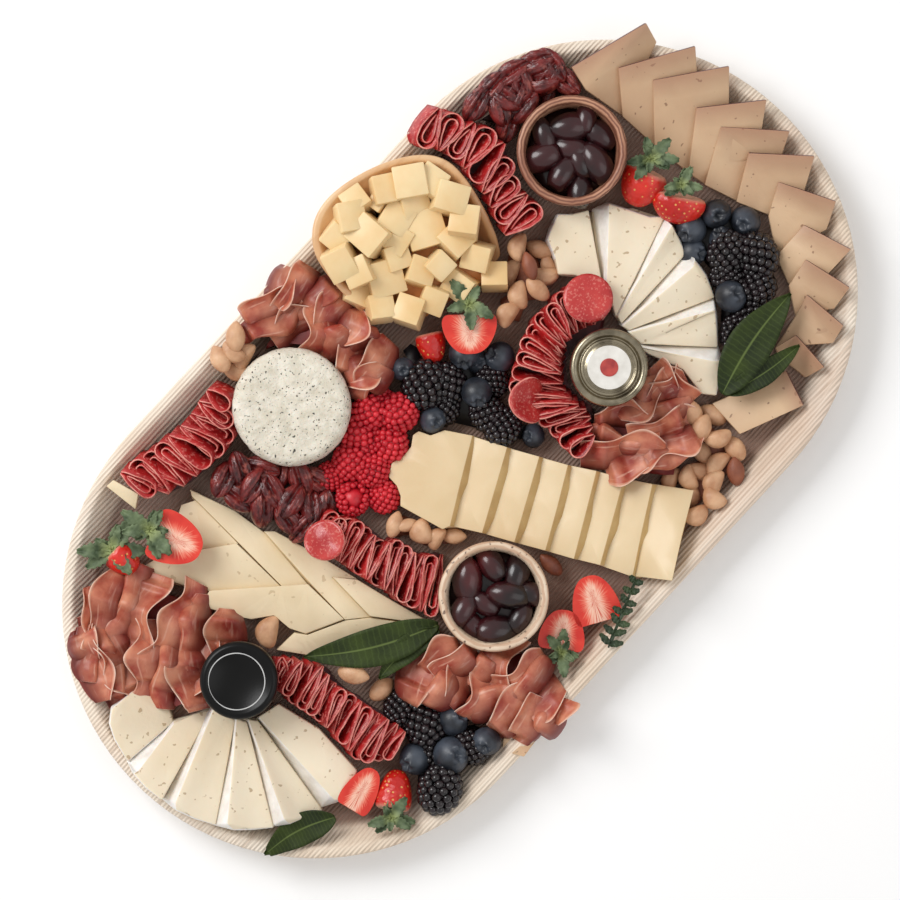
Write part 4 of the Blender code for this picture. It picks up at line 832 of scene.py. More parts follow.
fan(
    "wedges_by_black_jar",
    "soft_wedges_left",
    [
        (5, False, ((-229.5, 42, 18), (-237.5, 16.5, 16), (-269, 30, 36)),
         ((-229.5, 42), (-241, 46.5), (-256, 49), (-264, 43), (-269, 34), (-273, 18), (-238, 14),
          (-229, 31.5))),
        (3, True, ((-237.5, 16.5, 22), (-271.5, 20.5, 41), (-227, 7, 17)),
         ((-237.5, 16.5), (-272.5, 20.5), (-275.5, 12), (-276.5, 0), (-274.5, -12), (-216, 3), (-227, 9.5))),
        (3, True, ((-216, 5, 24), (-274, -10, 44), (-265, -44, 35)),
         ((-216, 5), (-275, -10), (-274.5, -22), (-271, -34), (-265, -46), (-211.5, -11.5))),
        (3, True, ((-211.5, -9.5, 24), (-265, -44, 42), (-243, -71, 29)),
         ((-211.5, -9.5), (-266, -44), (-260, -56), (-252, -65), (-243, -73), (-207.5, -17.5))),
        (3, True, ((-207.5, -15.5, 25), (-243, -71, 37), (-216, -85, 19)),
         ((-207.5, -15.5), (-243.5, -71), (-235, -79), (-226, -84), (-216, -87.5), (-202.5, -22))),
        (3, True, ((-202.5, -20, 25.6), (-216, -85, 26.4), (-183.5, -86.5, 20.5)),
         ((-202.5, -20), (-216, -85.5), (-206, -91), (-195, -92), (-183.5, -87), (-181, -52), (-186.5, -24))),
    ],
)

# Hard pale cheese: thin triangles laid over each other on the left half, cut from a firm ivory cheese
# with small eyes, and the tip of one more standing up by the rim.

IVORY = food("ivory_cheese_paste", (221, 200, 163), (233, 214, 180), 24, 450, 0.5, 0.1, coat=0.05, glow=0.06)
eyes = pattern(IVORY, "ShaderNodeTexNoise", Scale=210, Detail=1.0)
# Painted shade: the small eyes are coloured darker, as the shade inside them.
tint(IVORY, eyes.outputs["Fac"], 0.71, 0.74, 0.6, (186, 160, 122))
add_height(IVORY, eyes.outputs["Fac"], -0.4, 0.001)
# Painted shade: the sloping cut sides beside the triangles are the same paste, coloured darker as shade. The
# hidden core takes it too.
IVORY_SIDE_SHADE = food("ivory_cheese_side_shade", (204, 180, 138), (220, 198, 158), 60, 420, 0.5, 0.1, glow=0.05)
triangles = (
    (((-189, 93, 15), (-133, 60, 21), (-134, 23, 18)), (6, 7),
     ((-189, 93.5), (-165, 87), (-150, 73), (-133, 60), (-134, 23), (-165.5, 52.5), (-173.5, 64.5),
      (-181, 78))),
    (((-165, 85, 12), (-133, 60, 17), (-139, 101, 13)), (),
     ((-167, 87), (-150, 72), (-132.5, 59), (-131, 96), (-139, 100.5))),
    (((-131, 100, 16), (-134, 23, 19), (-117, 40, 15)), (5,),
     ((-131.5, 99), (-128.5, 103), (-119.5, 74), (-117, 52), (-122, 12), (-134.3, 22))),
    (((-122, 11, 20), (-123, -19, 20), (-101, 0, 15)), (6, 7),
     ((-117.3, 53), (-112, 48), (-105, 20), (-99.5, -8), (-109, 4), (-111, -29), (-123.2, -19),
      (-122.2, 11))),
    (((-175, 50, 17), (-122, 12, 23), (-145, -9, 18)), (4,),
     ((-175.5, 50.5), (-165, 52.7), (-133.5, 23), (-121.7, 12), (-122.8, -19.2), (-145, -8.3), (-149, 2),
      (-149.5, 14), (-160.5, 22.5), (-166, 31))),
    (((-164, -1, 17), (-111, -29, 19), (-118, -47, 15)), (4,),
     ((-164, -1), (-149, -2), (-144.5, -8.7), (-122.5, -19.5), (-110.5, -29), (-88, -62), (-100, -54.5),
      (-118, -47.5), (-133, -38.5), (-146, -26.5), (-153.5, -17))),
    (((-109, 3, 22), (-111, -29, 22), (-96, -30, 17)), (4,),
     ((-109.3, 4), (-99.7, -8), (-94.8, -32), (-88, -61.5), (-111.3, -28.5))),
)
mesh = bmesh.new()
for tops, sides, outline in triangles:
    height = plane(*tops)
    rind_and_shade_sides = {side: (0.9, 0.9) for side in sides}
    slab(mesh, [(x, y, height(x, y) - 0.3) for x, y in outline], 6.0, rind_and_shade_sides=rind_and_shade_sides, edge=0.5, cuts=2)
put_on_board("ivory_triangles", mesh, [IVORY, IVORY_SIDE_SHADE], ["pale_triangles"], sharp=35)
core("ivory_triangles_under", "pale_triangles", 0.55, IVORY_SIDE_SHADE, 0.99)
mesh = bmesh.new()
slab(mesh, ((-160, 140, 33), (-158.5, 118, 31), (-150.5, 123, 32), (-154.5, 139.5, 33.6)), 8, edge=0.5)
put_on_board("ivory_tip", mesh, [IVORY], ["pale_tip"], sharp=35)

# Salami: thin round slices folded over and stood on edge in five close-packed rows. From above each
# one shows as a narrow loop with a thin cut edge, pale pink as its fat and as a painted highlight, and dark
# red meat inside it.


def sheet(mesh, columns, rows, place, wanted="share"):
    """Adds a thin sheet. The place function turns two shares, along and across, into a point and a
    number that the material reads as an attribute."""
    part = bmesh.new()
    uv = part.loops.layers.uv.new("UVMap")
    bmesh.ops.create_grid(part, x_segments=columns, y_segments=rows, size=0.5)
    share = part.verts.layers.float.new(wanted)
    for face in part.faces:
        for corner in face.loops:
            corner[uv].uv = (corner.vert.co.x + 0.5, corner.vert.co.y + 0.5)
    for vert in part.verts:
        vert.co, vert[share] = place(vert.co.x + 0.5, vert.co.y + 0.5)
    add_to(mesh, part)


def along_line(line, share):
    """A point part of the way along a polyline."""
    points = [Vector(point).to_3d() for point in line]
    lengths = [(b - a).length for a, b in zip(points, points[1:])]
    left = share * sum(lengths)
    for a, b, length in zip(points, points[1:], lengths):
        if left <= length:
            return a.lerp(b, left / length)
        left -= length
    return points[-1]


def thicken(piece, thick, offset=-1.0, rim=0):
    """Gives a sheet its thickness in millimetres, with its cut edge in another look if wanted."""
    thickness = piece.modifiers.new("thickness", "SOLIDIFY")
    thickness.thickness = thick * MM
    thickness.offset = offset
    thickness.material_offset_rim = rim


SALAMI = food("salami_meat", (138, 16, 20), (186, 36, 36), 60, 700, 0.42, 0.2, coat=0.08, glow=0.05)
marbling = pattern(SALAMI, "ShaderNodeTexNoise", Scale=420, Detail=3.0)
tint(SALAMI, marbling.outputs["Fac"], 0.56, 0.64, 0.8, (214, 112, 104))
# Partly painted highlight: the cut edge is lighter pink than the meat, for its fat and for the light that
# catches it.
SALAMI_EDGE_AND_HIGHLIGHT = food("salami_edge_and_highlight", (206, 96, 88), (236, 158, 144), 140, 900, 0.4, 0.15, coat=0.1, glow=0.1)
tray_top = surface("tray")
SALAMI_UNDER = food("salami_shadow", (58, 8, 12), (84, 14, 20), 60, 400, 0.5, 0.1)

# How narrow a loop is at its open end, as a share of its width.
PINCH = 0.12


def loop_of(mesh, base, tip, width, ends, depth, lean):
    """One folded slice: a strip stood on edge along a narrow loop, closed and round at its tip. The
    ends are the heights of its upper edge at the base and at the tip."""
    way = tip - base
    length = way.length
    way = way.normalized()
    side = Vector((-way.y, way.x, 0))
    bend = math.pi * width / 2
    straight = max(length - width / 2, 1.0)
    total = 2 * straight + bend

    def place(u, v):
        run = u * total
        if run < straight or run > total - straight:
            along, out = (run, 1.0) if run < straight else (total - run, -1.0)
            spread = width / 2 * (PINCH + (1 - PINCH) * math.sin(along / straight * math.pi / 2))
        else:
            angle = (run - straight) / bend * math.pi
            along, out = straight + width / 2 * math.sin(angle), 1.0
            spread = width / 2 * math.cos(angle)
        crest = math.sin(min(along / length, 1.0) * math.pi) ** 0.6
        drop = depth * (1 - v)
        uneven = 0.5 * noise.noise(Vector((run / 5, base.x, base.y)))
        level = ends[0] + (ends[1] - ends[0]) * along / length
        height = level - 2.2 * (1 - crest) - drop + uneven
        shape = base + way * along + side * (out * spread * (1 - 0.25 * (1 - v))) + side * lean * drop
        shape += side * 0.5 * noise.noise(Vector((run / 6, base.y, v)))
        return Vector((shape.x, shape.y, max(height, tray_top(shape.x, shape.y) + 0.8))), v

    sheet(mesh, 26, 3, place)


def salami_row(name, node, side, other, count, width, lean=0.6, flip=True):
    """A row of folded slices standing between two edge lines, over a dark core."""
    top = surface(node)
    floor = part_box(node)[0].z / MM
    mesh = bmesh.new()
    for i in range(count):
        share = (i + 0.5) / count
        near = along_line(side, share)
        far = along_line(other, share)
        if flip and draws.random() < 0.35:
            near, far = far, near
        near, far = near.lerp(far, 0.05), far.lerp(near, 0.03)
        middle = near.lerp(far, 0.5)
        rise = max(top(middle.x, middle.y), floor + 12) + draws.uniform(-1.0, 0.6)
        ends = [max(top(*near.lerp(far, 0.2).xy), rise - 5), max(top(*near.lerp(far, 0.8).xy), rise - 5)]
        breadth = width * draws.uniform(0.85, 1.12)
        turn = 1 if near.x < far.x else -1
        depth = min(13, min(ends) - floor - 3)
        loop_of(mesh, near, far, breadth, ends, depth, lean * turn)
        if draws.random() < 0.8:
            start = near.lerp(far, draws.uniform(0.05, 0.2))
            end = far.lerp(near, 0.14)
            inner = [height - 1.2 for height in ends]
            loop_of(mesh, start, end, breadth * 0.5, inner, depth * 0.75, lean * turn)
    piece = put_on_board(name, mesh, [SALAMI, SALAMI_EDGE_AND_HIGHLIGHT], [node])
    thicken(piece, 0.85, 0, 1)
    core(name + "_under", node, 0.4, SALAMI_UNDER, 0.9)


def salami_disc(mesh, at, radius, tip, turn, fold=0.0):
    """A slice seen on its face, bent along its middle."""
    lie = Euler((0, math.radians(tip), math.radians(turn))).to_matrix()

    def place(u, v):
        angle = u * math.tau
        flat = Vector((math.cos(angle) * v, math.sin(angle) * v, 0)) * radius
        flat.z = fold * (flat.y / radius) ** 2 * radius + 0.6 * noise.noise(flat / 6)
        return Vector(at) + lie @ flat, v

    sheet(mesh, 32, 6, place)


salami_row(
    "salami_row_by_scoop",
    "salami_top",
    [(113.5, 142), (120, 133), (124, 121), (123, 108), (120, 94), (116, 80), (110.5, 67), (111, 63)],
    [(141, 153), (144.5, 142), (149, 131), (152, 121), (156, 111), (152, 100), (143, 87), (140.5, 74),
     (139.5, 57)],
    9, 12.5,
)
salami_row(
    "salami_row_by_wheel",
    "salami_left",
    [(-153, 139), (-146, 141.5), (-130, 137), (-118, 135), (-105, 133.5), (-90, 134.5), (-80, 137),
     (-73, 134)],
    [(-147, 119), (-140, 109), (-128, 104.5), (-119, 103), (-108, 102), (-97, 101), (-86.5, 103),
     (-74, 121.5)],
    9, 11.0,
)
salami_row(
    "salami_row_lower",
    "salami_lower",
    [(-165.5, -3.5), (-155.5, -18.5), (-149.5, -28), (-152.5, -38), (-152, -50), (-149.5, -57), (-149.5, -66),
     (-147, -75), (-145, -86), (-146, -94)],
    [(-170, -12), (-179, -20.5), (-181.5, -30), (-178.5, -45), (-178, -57), (-179, -70), (-180.5, -83),
     (-172, -90), (-165, -95.5)],
    15, 7.4, 0.5,
)
salami_row(
    "salami_row_middle",
    "salami_middle",
    [(-103, 28), (-102.5, 18), (-97.5, -8), (-93, -32), (-90, -48), (-86, -59)],
    [(-78, 31), (-77.5, 22), (-71.5, 16), (-71, -5), (-64, -10), (-62, -24), (-58, -30), (-50, -36)],
    14, 8.0, 0.5,
)
salami_row(
    "salami_ring",
    "salami_centre",
    [(116, -11), (107.6, -9), (101.8, -6), (95.5, -5), (89, -6), (83, -8.5), (76.5, -13), (72, -19),
     (69.5, -25), (68.5, -32), (69.5, -38.5), (70.5, -43), (64.5, -50), (60, -55.5)],
    [(128, -4), (127.5, 6), (120, 18), (108, 21.5), (102, 20), (91, 22), (75, 19.5), (66, 15.5), (60, 11),
     (50, 8), (44.5, 2), (41, -12), (44, -26), (43, -37), (41, -50), (45, -56)],
    17, 8.8, 0.45, False,
)
mesh = bmesh.new()
salami_disc(mesh, (118, 5, 33), 15, 9, 35)
salami_disc(mesh, (48, -9, 32), 14, 42, -47, 0.4)
salami_disc(mesh, (-95, 22, 31.5), 12.5, 14, 80, 0.3)
bmesh.ops.remove_doubles(mesh, verts=mesh.verts, dist=0.01)
SALAMI_FACE = food("salami_face", (172, 34, 36), (200, 62, 56), 60, 700, 0.35, 0.2, coat=0.3, glow=0.05)
marbling = pattern(SALAMI_FACE, "ShaderNodeTexNoise", Scale=640, Detail=3.0)
tint(SALAMI_FACE, marbling.outputs["Fac"], 0.54, 0.64, 0.55, (218, 132, 118))
both = ["salami_centre", "salami_middle"]
thicken(put_on_board("salami_faces", mesh, [SALAMI_FACE, SALAMI_EDGE_AND_HIGHLIGHT], both), 1.2, rim=1)

# Cured ham: four heaps of very thin slices dropped in loose folds. The lean is a translucent brownish
# red with pale streaks along it, and each slice has a strip of white fat down one edge.

HAM = food("cured_ham_lean", (158, 58, 42), (214, 138, 108), 62, 500, 0.46, 0.1, coat=0.05, glow=0.2)
streaks = pattern(HAM, "ShaderNodeTexNoise", (2.2, 9, 1), space="UV", Scale=1.0, Detail=3.0)
tint(HAM, streaks.outputs["Fac"], 0.56, 0.66, 0.6, (224, 168, 146))
# Painted shade: the lean is darkened towards each slice's valley, low in the sheet, where the folds shade it.
# The pale strip at the free edge is its fat.
tint(HAM, attribute(HAM, "share"), 0.55, 0.15, 0.9, (104, 26, 22))
tint(HAM, attribute(HAM, "share"), 0.86, 1.0, 0.85, (236, 194, 170))
HAM_EDGE = food("cured_ham_edge", (212, 146, 126), (240, 206, 188), 120, 900, 0.35, 0.1, coat=0.3, glow=0.2)
HAM_UNDER = food("cured_ham_shadow", (104, 24, 22), (140, 42, 36), 40, 300, 0.5, 0.1)


def fold(mesh, top, start, end, width, drop, ruffle, seed, curl):
    """One draped slice: it rises from a valley to a free edge that waves and curls over."""
    start, end = Vector(start).to_3d(), Vector(end).to_3d()
    way = (end - start).normalized()
    side = Vector((-way.y, way.x, 0))
    length = (end - start).length
    pitch = 4.6 + 2.6 * math.sin(seed * 1.3) ** 2
    if seed % 3 == 0:
        section = ((-1, -0.2), (-0.7, 0.5), (-0.3, 0.9), (0.1, 1), (0.45, 0.9), (0.55, 0.6), (0.3, 0.45))
    else:
        section = ((-1, -0.3), (-0.8, 0.3), (-0.4, 0.62), (0, 0.75), (0.35, 0.9), (0.6, 1.1), (0.7, 1.3))

    def place(u, v):
        spot_on = v * (len(section) - 1)
        i = min(int(spot_on), len(section) - 2)
        reach = section[i][0] + (section[i + 1][0] - section[i][0]) * (spot_on - i)
        rise = section[i][1] + (section[i + 1][1] - section[i][1]) * (spot_on - i)
        wave = math.sin(u * length / pitch + seed * 2.1) * ruffle * (0.15 + v * v)
        bow = math.sin(u * math.pi) * 3.5 * math.sin(seed * 1.7)
        taper = 0.5 + 0.5 * math.sin(min(max(u, 0.02), 0.98) * math.pi) ** 0.5
        centre = start + way * (u * length) + side * bow
        point = centre + side * (reach * curl * width / 2 * taper + wave)
        rough = noise.noise(Vector((u * length / 9, v * 2.5, seed * 3.3)))
        level = top(*centre.lerp((start + end) / 2, 0.08).xy)
        height = level - 0.6 - drop * (1 - rise) * taper + 2.4 * rough - 9.0 * (1 - taper)
        return Vector((point.x, point.y, max(height, tray_top(point.x, point.y) + 0.8))), v

    sheet(mesh, max(int(length / 1.6), 12), 12, place)


def ham(name, node, folds, width=23, drop=11):
    """A heap of slices, each fold given by its two ends and made as two slices turned apart."""
    top = surface(node)
    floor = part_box(node)[0].z / MM

    def level(x, y):
        return max(top(x, y), floor + 20)

    mesh = bmesh.new()
    for i, (start, end) in enumerate(folds):
        start, end = Vector(start), Vector(end)
        for part in range(2):
            middle = start.lerp(end, 0.27 + 0.46 * part)
            half = (end - start) * draws.uniform(0.36, 0.46)
            half.rotate(Matrix.Rotation(math.radians(draws.uniform(-26, 26)), 2))
            ruffle = draws.uniform(1.4, 4.4)
            breadth = width * draws.uniform(0.95, 1.25)
            seed = 2 * i + part + 1
            side = draws.choice((1, 1, -1))
            fold(mesh, level, middle - half, middle + half, breadth, drop, ruffle, seed, side)
    piece = put_on_board(name, mesh, [HAM, HAM_EDGE], [node])
    thicken(piece, 0.7, 0, 1)
    modifier = piece.modifiers.new("soften", "SUBSURF")
    modifier.levels = modifier.render_levels = 1
    core(name + "_under", node, 0.45, HAM_UNDER, 0.9)


ham(
    "ham_by_black_jar",
    "ham_left",
    [((-252, 62), (-212, 100)), ((-252, 58), (-202, 102)), ((-244, 51), (-196, 96)), ((-236, 42), (-186, 82)),
     ((-230, 30), (-179, 66)), ((-224, 20), (-176, 50)), ((-212, 22), (-169, 32)), ((-250, 68), (-232, 90))],
)
ham(
    "ham_by_scoop",
    "ham_top",
    [((-26, 141), (8, 145)), ((-33, 134), (15, 138)), ((-24, 122), (17, 126)), ((-17, 110), (17, 112)),
     ((-12, 98), (17, 99)), ((-13, 86), (16, 88)), ((-16, 75), (14, 76)), ((-18, 67), (2, 67))],
)
ham(
    "ham_by_gilt_jar",
    "ham_middle",
    [((52, -64), (98, -100)), ((60, -58), (104, -90)), ((70, -52), (110, -80)), ((84, -56), (118, -72)),
     ((98, -58), (121, -66)), ((54, -74), (84, -102)), ((112, -54), (120, -80))],
    20,
)
ham(
    "ham_by_pale_bowl",
    "ham_lower",
    [((-128, -78), (-89, -75)), ((-124, -88), (-86, -84)), ((-112, -98), (-76, -98)),
     ((-111, -108), (-66, -108)), ((-108, -118), (-61, -117)), ((-106, -129), (-61, -127)),
     ((-100, -140), (-66, -138)), ((-90, -151), (-69, -150))],
)

# Nuts: blanched and toasted nuts in tan skins, laid in small groups between the other foods. Some are
# almonds with a point, some are rounder with a crease, and a few keep their dark brown skins.

NUT = food("toasted_nut", (182, 132, 96), (216, 172, 134), 90, 600, 0.5, 0.3, coat=0.05, glow=0.05)
# The brown skins of a few nuts, and also the core under each heap, painted as shade.
BROWN_NUT_AND_SHADE = food("brown_nut_skin_and_shade", (112, 58, 40), (150, 88, 62), 70, 700, 0.5, 0.3)


def almond_shape(co):
    """A flattened drop with a pointed end and faint lines along it."""
    pinch = 1.0 - 0.42 * max(co.x, 0.0) ** 2 - 0.1 * max(-co.x, 0.0) ** 2
    ridge = 1.0 + 0.03 * math.sin(math.atan2(co.z, co.y) * 11)
    return Vector((co.x, co.y * pinch * ridge, co.z * pinch * ridge))


def cashew_shape(co):
    """A kidney bent round its middle, with a crease down its back."""
    bend = 0.42 * co.x * co.x
    crease = 0.2 * math.exp(-((co.y - 0.1) / 0.16) ** 2) * max(co.z, 0.0)
    return Vector((co.x, co.y * (0.92 - 0.1 * co.x) - bend + 0.15, co.z - crease))


def nuts(name, node, items):
    """A group of nuts as x, y, length, breadth, turn and kind, over the low middle of its solid."""
    top = surface(node)
    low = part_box(node)[0].z / MM
    mesh = bmesh.new()
    for x, y, length, breadth, turn, kind in items:
        shape = cashew_shape if kind == "kidney" else almond_shape
        height = max(top(x, y), low + breadth * 0.8) - breadth * 0.4
        before = len(mesh.faces)
        size = (length / 2, breadth / 2, breadth * 0.42)
        ball(mesh, (x, y, height), size, turn, draws.uniform(-14, 14), 0, 20, 14, shape)
        mesh.faces.ensure_lookup_table()
        for face in mesh.faces[before:]:
            face.material_index = 1 if kind == "brown" else 0
    bmesh.ops.recalc_face_normals(mesh, faces=mesh.faces)
    put_on_board(name, mesh, [NUT, BROWN_NUT_AND_SHADE], [node])
    # Painted shade: the hidden core under a heap takes the brown nuts' darker colour, as shade between the
    # nuts.
    if len(items) > 1:
        core(name + "_under", node, 0.3, BROWN_NUT_AND_SHADE, 0.82)


nuts("nuts_by_wheel", "nuts_far", [
    (-42, 144, 19, 12, 40, "almond"), (-47, 133, 18, 12, 10, "kidney"), (-58, 142, 18, 12, 70, "almond"),
    (-57, 130, 18, 12, 120, "almond"), (-50, 139, 16, 11, 95, "kidney"),
])
nuts("nuts_by_salami", "nuts_row", [
    (-60, -2, 17, 10, 25, "almond"), (-55, -8, 14, 8, -30, "almond"), (-52, -17, 16, 15, 60, "kidney"),
    (-49, -26, 15, 11, 10, "kidney"), (-41, -33, 16, 10, -50, "almond"),
])
nuts("nuts_by_fan", "nuts_centre", [
    (113, 57, 18, 12, 30, "kidney"), (121, 47, 18, 11, 110, "almond"), (109, 44, 18, 9, 60, "brown"),
    (99, 50, 18, 12, 20, "kidney"), (111, 34, 19, 12, 130, "kidney"), (102, 31, 18, 11, 90, "almond"),
    (92, 37, 18, 13, 45, "kidney"), (79, 34, 17, 13, 5, "kidney"), (118, 36, 15, 10, 70, "kidney"),
])
nuts("nuts_by_smoked", "nuts_right", [
    (111, -88, 18, 12, 60, "almond"), (119, -98, 18, 12, 100, "almond"), (108, -98, 18, 12, 20, "almond"),
    (110, -109, 18, 12, 140, "kidney"), (113, -121, 18, 12, 80, "almond"), (99, -120, 18, 12, 0, "kidney"),
    (103, -131, 18, 11, 50, "brown"), (90, -116, 18, 12, 130, "kidney"), (81, -113, 16, 12, 60, "kidney"),
    (89, -126, 17, 13, 20, "kidney"), (82, -132, 16, 13, 90, "kidney"), (67, -131, 17, 13, 150, "kidney"),
    (73, -106, 16, 11, 20, "kidney"), (98, -108, 17, 11, 75, "almond"), (74, -121, 16, 12, 40, "almond"),
])
nuts("walnut_by_jar", "walnut_left", [(-159, 10, 20, 15, 30, "kidney")])
nuts("almond_by_leaf", "almond_upper", [(-142.5, -45, 20, 12, -60, "almond")])
nuts("almond_below_leaf", "almond_lower", [(-138.3, -63.8, 18, 12, -5, "almond")])
nuts("almond_by_bowl", "almond_bowl", [(-13.9, -87.6, 18, 10, 90, "brown")])

# Glazed pecans: halves in a dark shiny sugar glaze, each with a deep groove down its middle and
# wrinkles across it, in a heap by the top bowl and another by the wheel.

PECAN = food("pecan_glaze", (70, 16, 18), (126, 38, 36), 130, 420, 0.3, 0.6, coat=0.2)
sugar = pattern(PECAN, "ShaderNodeTexNoise", Scale=190, Detail=3.0)
tint(PECAN, sugar.outputs["Fac"], 0.56, 0.68, 0.6, (178, 92, 80))
PECAN_UNDER = food("pecan_shadow", (40, 14, 14), (62, 26, 24), 60, 300, 0.5, 0.1)


def pecan_shape(co):
    """Half a nut: two wrinkled lobes either side of a groove."""
    groove = 0.72 * math.exp(-(co.y / 0.16) ** 2)
    wrinkle = 0.12 * math.sin(co.x * 15 + abs(co.y) * 9) * (1 - abs(co.x))
    lobe = wrinkle + 0.2 * math.sin(abs(co.y) * 22 + co.x * 2)
    height = co.z * (1 - groove + lobe) if co.z > 0 else co.z * 0.5
    return Vector((co.x, co.y * (1 - 0.18 * co.x * co.x), height))


def pecans(name, node, items):
    """A heap of pecan halves, as x, y and turn in degrees, over a dark core."""
    top = surface(node)
    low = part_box(node)[0].z / MM
    mesh = bmesh.new()
    for x, y, turn in items:
        height = max(top(x, y), low + 12) - 6.0 + draws.uniform(-1.6, 0.2)
        tip, roll = draws.uniform(-24, 24), draws.uniform(-34, 34)
        ball(mesh, (x, y, height), (12.5, 7.6, 7.0), turn, tip, roll, 44, 18, pecan_shape)
    bmesh.ops.recalc_face_normals(mesh, faces=mesh.faces)
    put_on_board(name, mesh, [PECAN], [node])
    core(name + "_under", node, 0.45, PECAN_UNDER, 0.9)


pecans("pecans_by_wheel", "pecans_left", [
    (-110, 92, 20), (-99, 88, 60), (-112, 78, 95), (-100, 76, 10), (-90, 80, 120), (-107, 63, 40),
    (-95, 66, 70), (-83, 70, 30), (-78, 58, 60), (-92, 53, 10), (-101, 47, 80), (-86, 43, 50),
    (-72, 50, 100), (-98, 37, 0), (-82, 36, 30),
])
pecans("pecans_by_bowl", "pecans_top", [
    (158, 133, 10), (172, 133, 0), (186, 130, -15), (200, 124, -30), (166, 122, 60), (180, 120, 20),
    (194, 114, -40), (206, 116, 80), (163, 112, 30), (176, 111, 0), (190, 108, 20), (205, 104, 90),
    (172, 124, 100), (186, 122, 60), (199, 112, 10),
])

# Berries: blueberries with a grey bloom and a star-shaped crown, and black bramble fruits built of
# shiny beads, in three heaps.

BLUE = food("blueberry_skin", (26, 29, 36), (68, 75, 86), 70, 500, 0.42, 0.08, coat=0.05)
BLACK_BEAD = food("bramble_bead", (14, 10, 13), (32, 20, 24), 160, 500, 0.24, 0.05, coat=0.3)
BERRY_UNDER = food("berry_shadow", (8, 7, 10), (18, 15, 20), 60, 300, 0.5, 0.1)
RED_BEAD = food("raspberry_bead", (182, 16, 34), (218, 44, 56), 120, 700, 0.42, 0.1, coat=0.08, glow=0.2)
RED_UNDER = food("raspberry_shadow", (112, 6, 20), (146, 14, 32), 60, 300, 0.5, 0.1)


def blueberry_shape(co):
    """A ball with a sunken eye and five low points round it, at its far end."""
    away = math.acos(max(min(co.x, 1.0), -1.0))
    star = 0.5 + 0.5 * math.cos(5 * math.atan2(co.z, co.y))
    rim = math.exp(-((away - 0.40) / 0.11) ** 2) * (0.05 + 0.17 * star)
    eye = 0.34 * math.exp(-(away / 0.28) ** 2)
    return co * (1.0 + rim - eye)


# The turn, in radians, that spaces beads evenly along a spiral.
GOLDEN_TURN = 2.39996


def beads(mesh, at, size, turn, bead, count, tip=0.0, hollow=0.0):
    """A fruit of many beads, set in a spiral over an oval, with a hole left at its end if wanted."""
    lie = Euler((0, math.radians(tip), math.radians(turn))).to_matrix()
    part = bmesh.new()
    for i in range(count):
        share = 1 - 2 * (i + 0.5) / count
        if share > 1 - hollow:
            continue
        around = i * GOLDEN_TURN
        ring = math.sqrt(1 - share * share)
        out = Vector((share, ring * math.cos(around), ring * math.sin(around)))
        out *= 1 + 0.05 * noise.noise(out * 3 + Vector(at))
        place = Vector(at) + lie @ Vector((out.x * size[0], out.y * size[1], out.z * size[2]))
        grown = bead * (1 + 0.15 * noise.noise(out * 9 + Vector(at)))
        ball(part, place, (grown, grown, grown), 0, 0, 0, 8, 6)
    inside = 0.95 - hollow * 0.65
    ball(part, at, tuple(side * inside for side in size), turn, tip, 0, 14, 10)
    add_to(mesh, part)


# The tray's wall under a fruit: how far in its foot lies, how far in it comes for each millimetre it
# drops, and how many radii of room a fruit on that slope needs.
WALL_FOOT = 26
WALL_SLOPE = 1.24
WALL_REACH = 1.6


def clear_of_wall(x, y, radius, height):
    """A fruit's height, raised where the tray's sloping wall comes under its outer side."""
    inset = TRAY_RADIUS - Vector((x - max(min(x, TRAY_END), -TRAY_END), y)).length
    return max(height, (WALL_FOOT - inset + WALL_REACH * radius) / WALL_SLOPE)


def berries(name, node, blue, black):
    """A heap: blueberries as x, y, radius and lift, brambles as x, y, radius and turn."""
    top = surface(node)
    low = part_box(node)[0].z / MM
    mesh = bmesh.new()
    for x, y, radius, lift in blue:
        height = clear_of_wall(x, y, radius, max(top(x, y) + lift, low + radius * 1.8) - radius)
        way = draws.uniform(0, 360)
        size = (radius, radius, radius * 0.9)
        ball(mesh, (x, y, height), size, way, -draws.uniform(40, 80), 0, 36, 26, blueberry_shape)
    bmesh.ops.recalc_face_normals(mesh, faces=mesh.faces)
    put_on_board(name + "_blueberries", mesh, [BLUE], [node])
    mesh = bmesh.new()
    for x, y, radius, turn in black:
        height = clear_of_wall(x, y, radius, max(top(x, y), low + radius * 1.7) - radius * 0.95)
        size = (radius * 0.98, radius * 0.8, radius * 0.78)
        beads(mesh, (x, y, height), size, turn, radius * 0.215, 78, draws.uniform(-25, 25))
    bmesh.ops.recalc_face_normals(mesh, faces=mesh.faces)
    put_on_board(name + "_brambles", mesh, [BLACK_BEAD], [node])
    core(name + "_under", node, 0.35, BERRY_UNDER, 0.86)


berries(
    "berries_in_middle",
    "berries_middle",
    [(12, 58, 7.5, 0), (2, 24, 8.5, 0), (44, 37, 9.5, 1), (57, 20, 9.5, 1), (32, 16, 9.5, 2),
     (36, -27, 7.5, 0), (46, 28, 7.5, -3)],
    [(14, 42, 14, 20), (24, 32, 12, 60), (27, 1, 11.5, 100), (27, -10, 11.5, 20), (44, 14, 10, 80),
     (12, 24, 10, 40)],
)
berries(
    "berries_on_right",
    "berries_right",
    [(192, -12, 9.5, 1), (209, -17, 9.5, 1), (218, -33, 9.5, 1), (182, -22, 9, 0), (178, -57, 10, 2),
     (200, -30, 8, -3)],
    [(196, -38, 12.5, 30), (207, -52, 13.5, 70), (192, -66, 12, 10), (165, -75, 11, 40), (178, -74, 11.5, 90),
     (186, -48, 10, 120)],
)
berries(
    "berries_lower",
    "berries_lower",
    [(-155, -107, 10, 1), (-123, -108, 9.5, 1), (-139, -121, 11.5, 2), (-118, -131, 9, 0),
     (-128, -118, 8, -2)],
    [(-139, -80, 11, 30), (-136, -97, 13.5, 60), (-158, -130, 14, 20), (-127, -127, 11, 100),
     (-146, -110, 10, 60)],
)

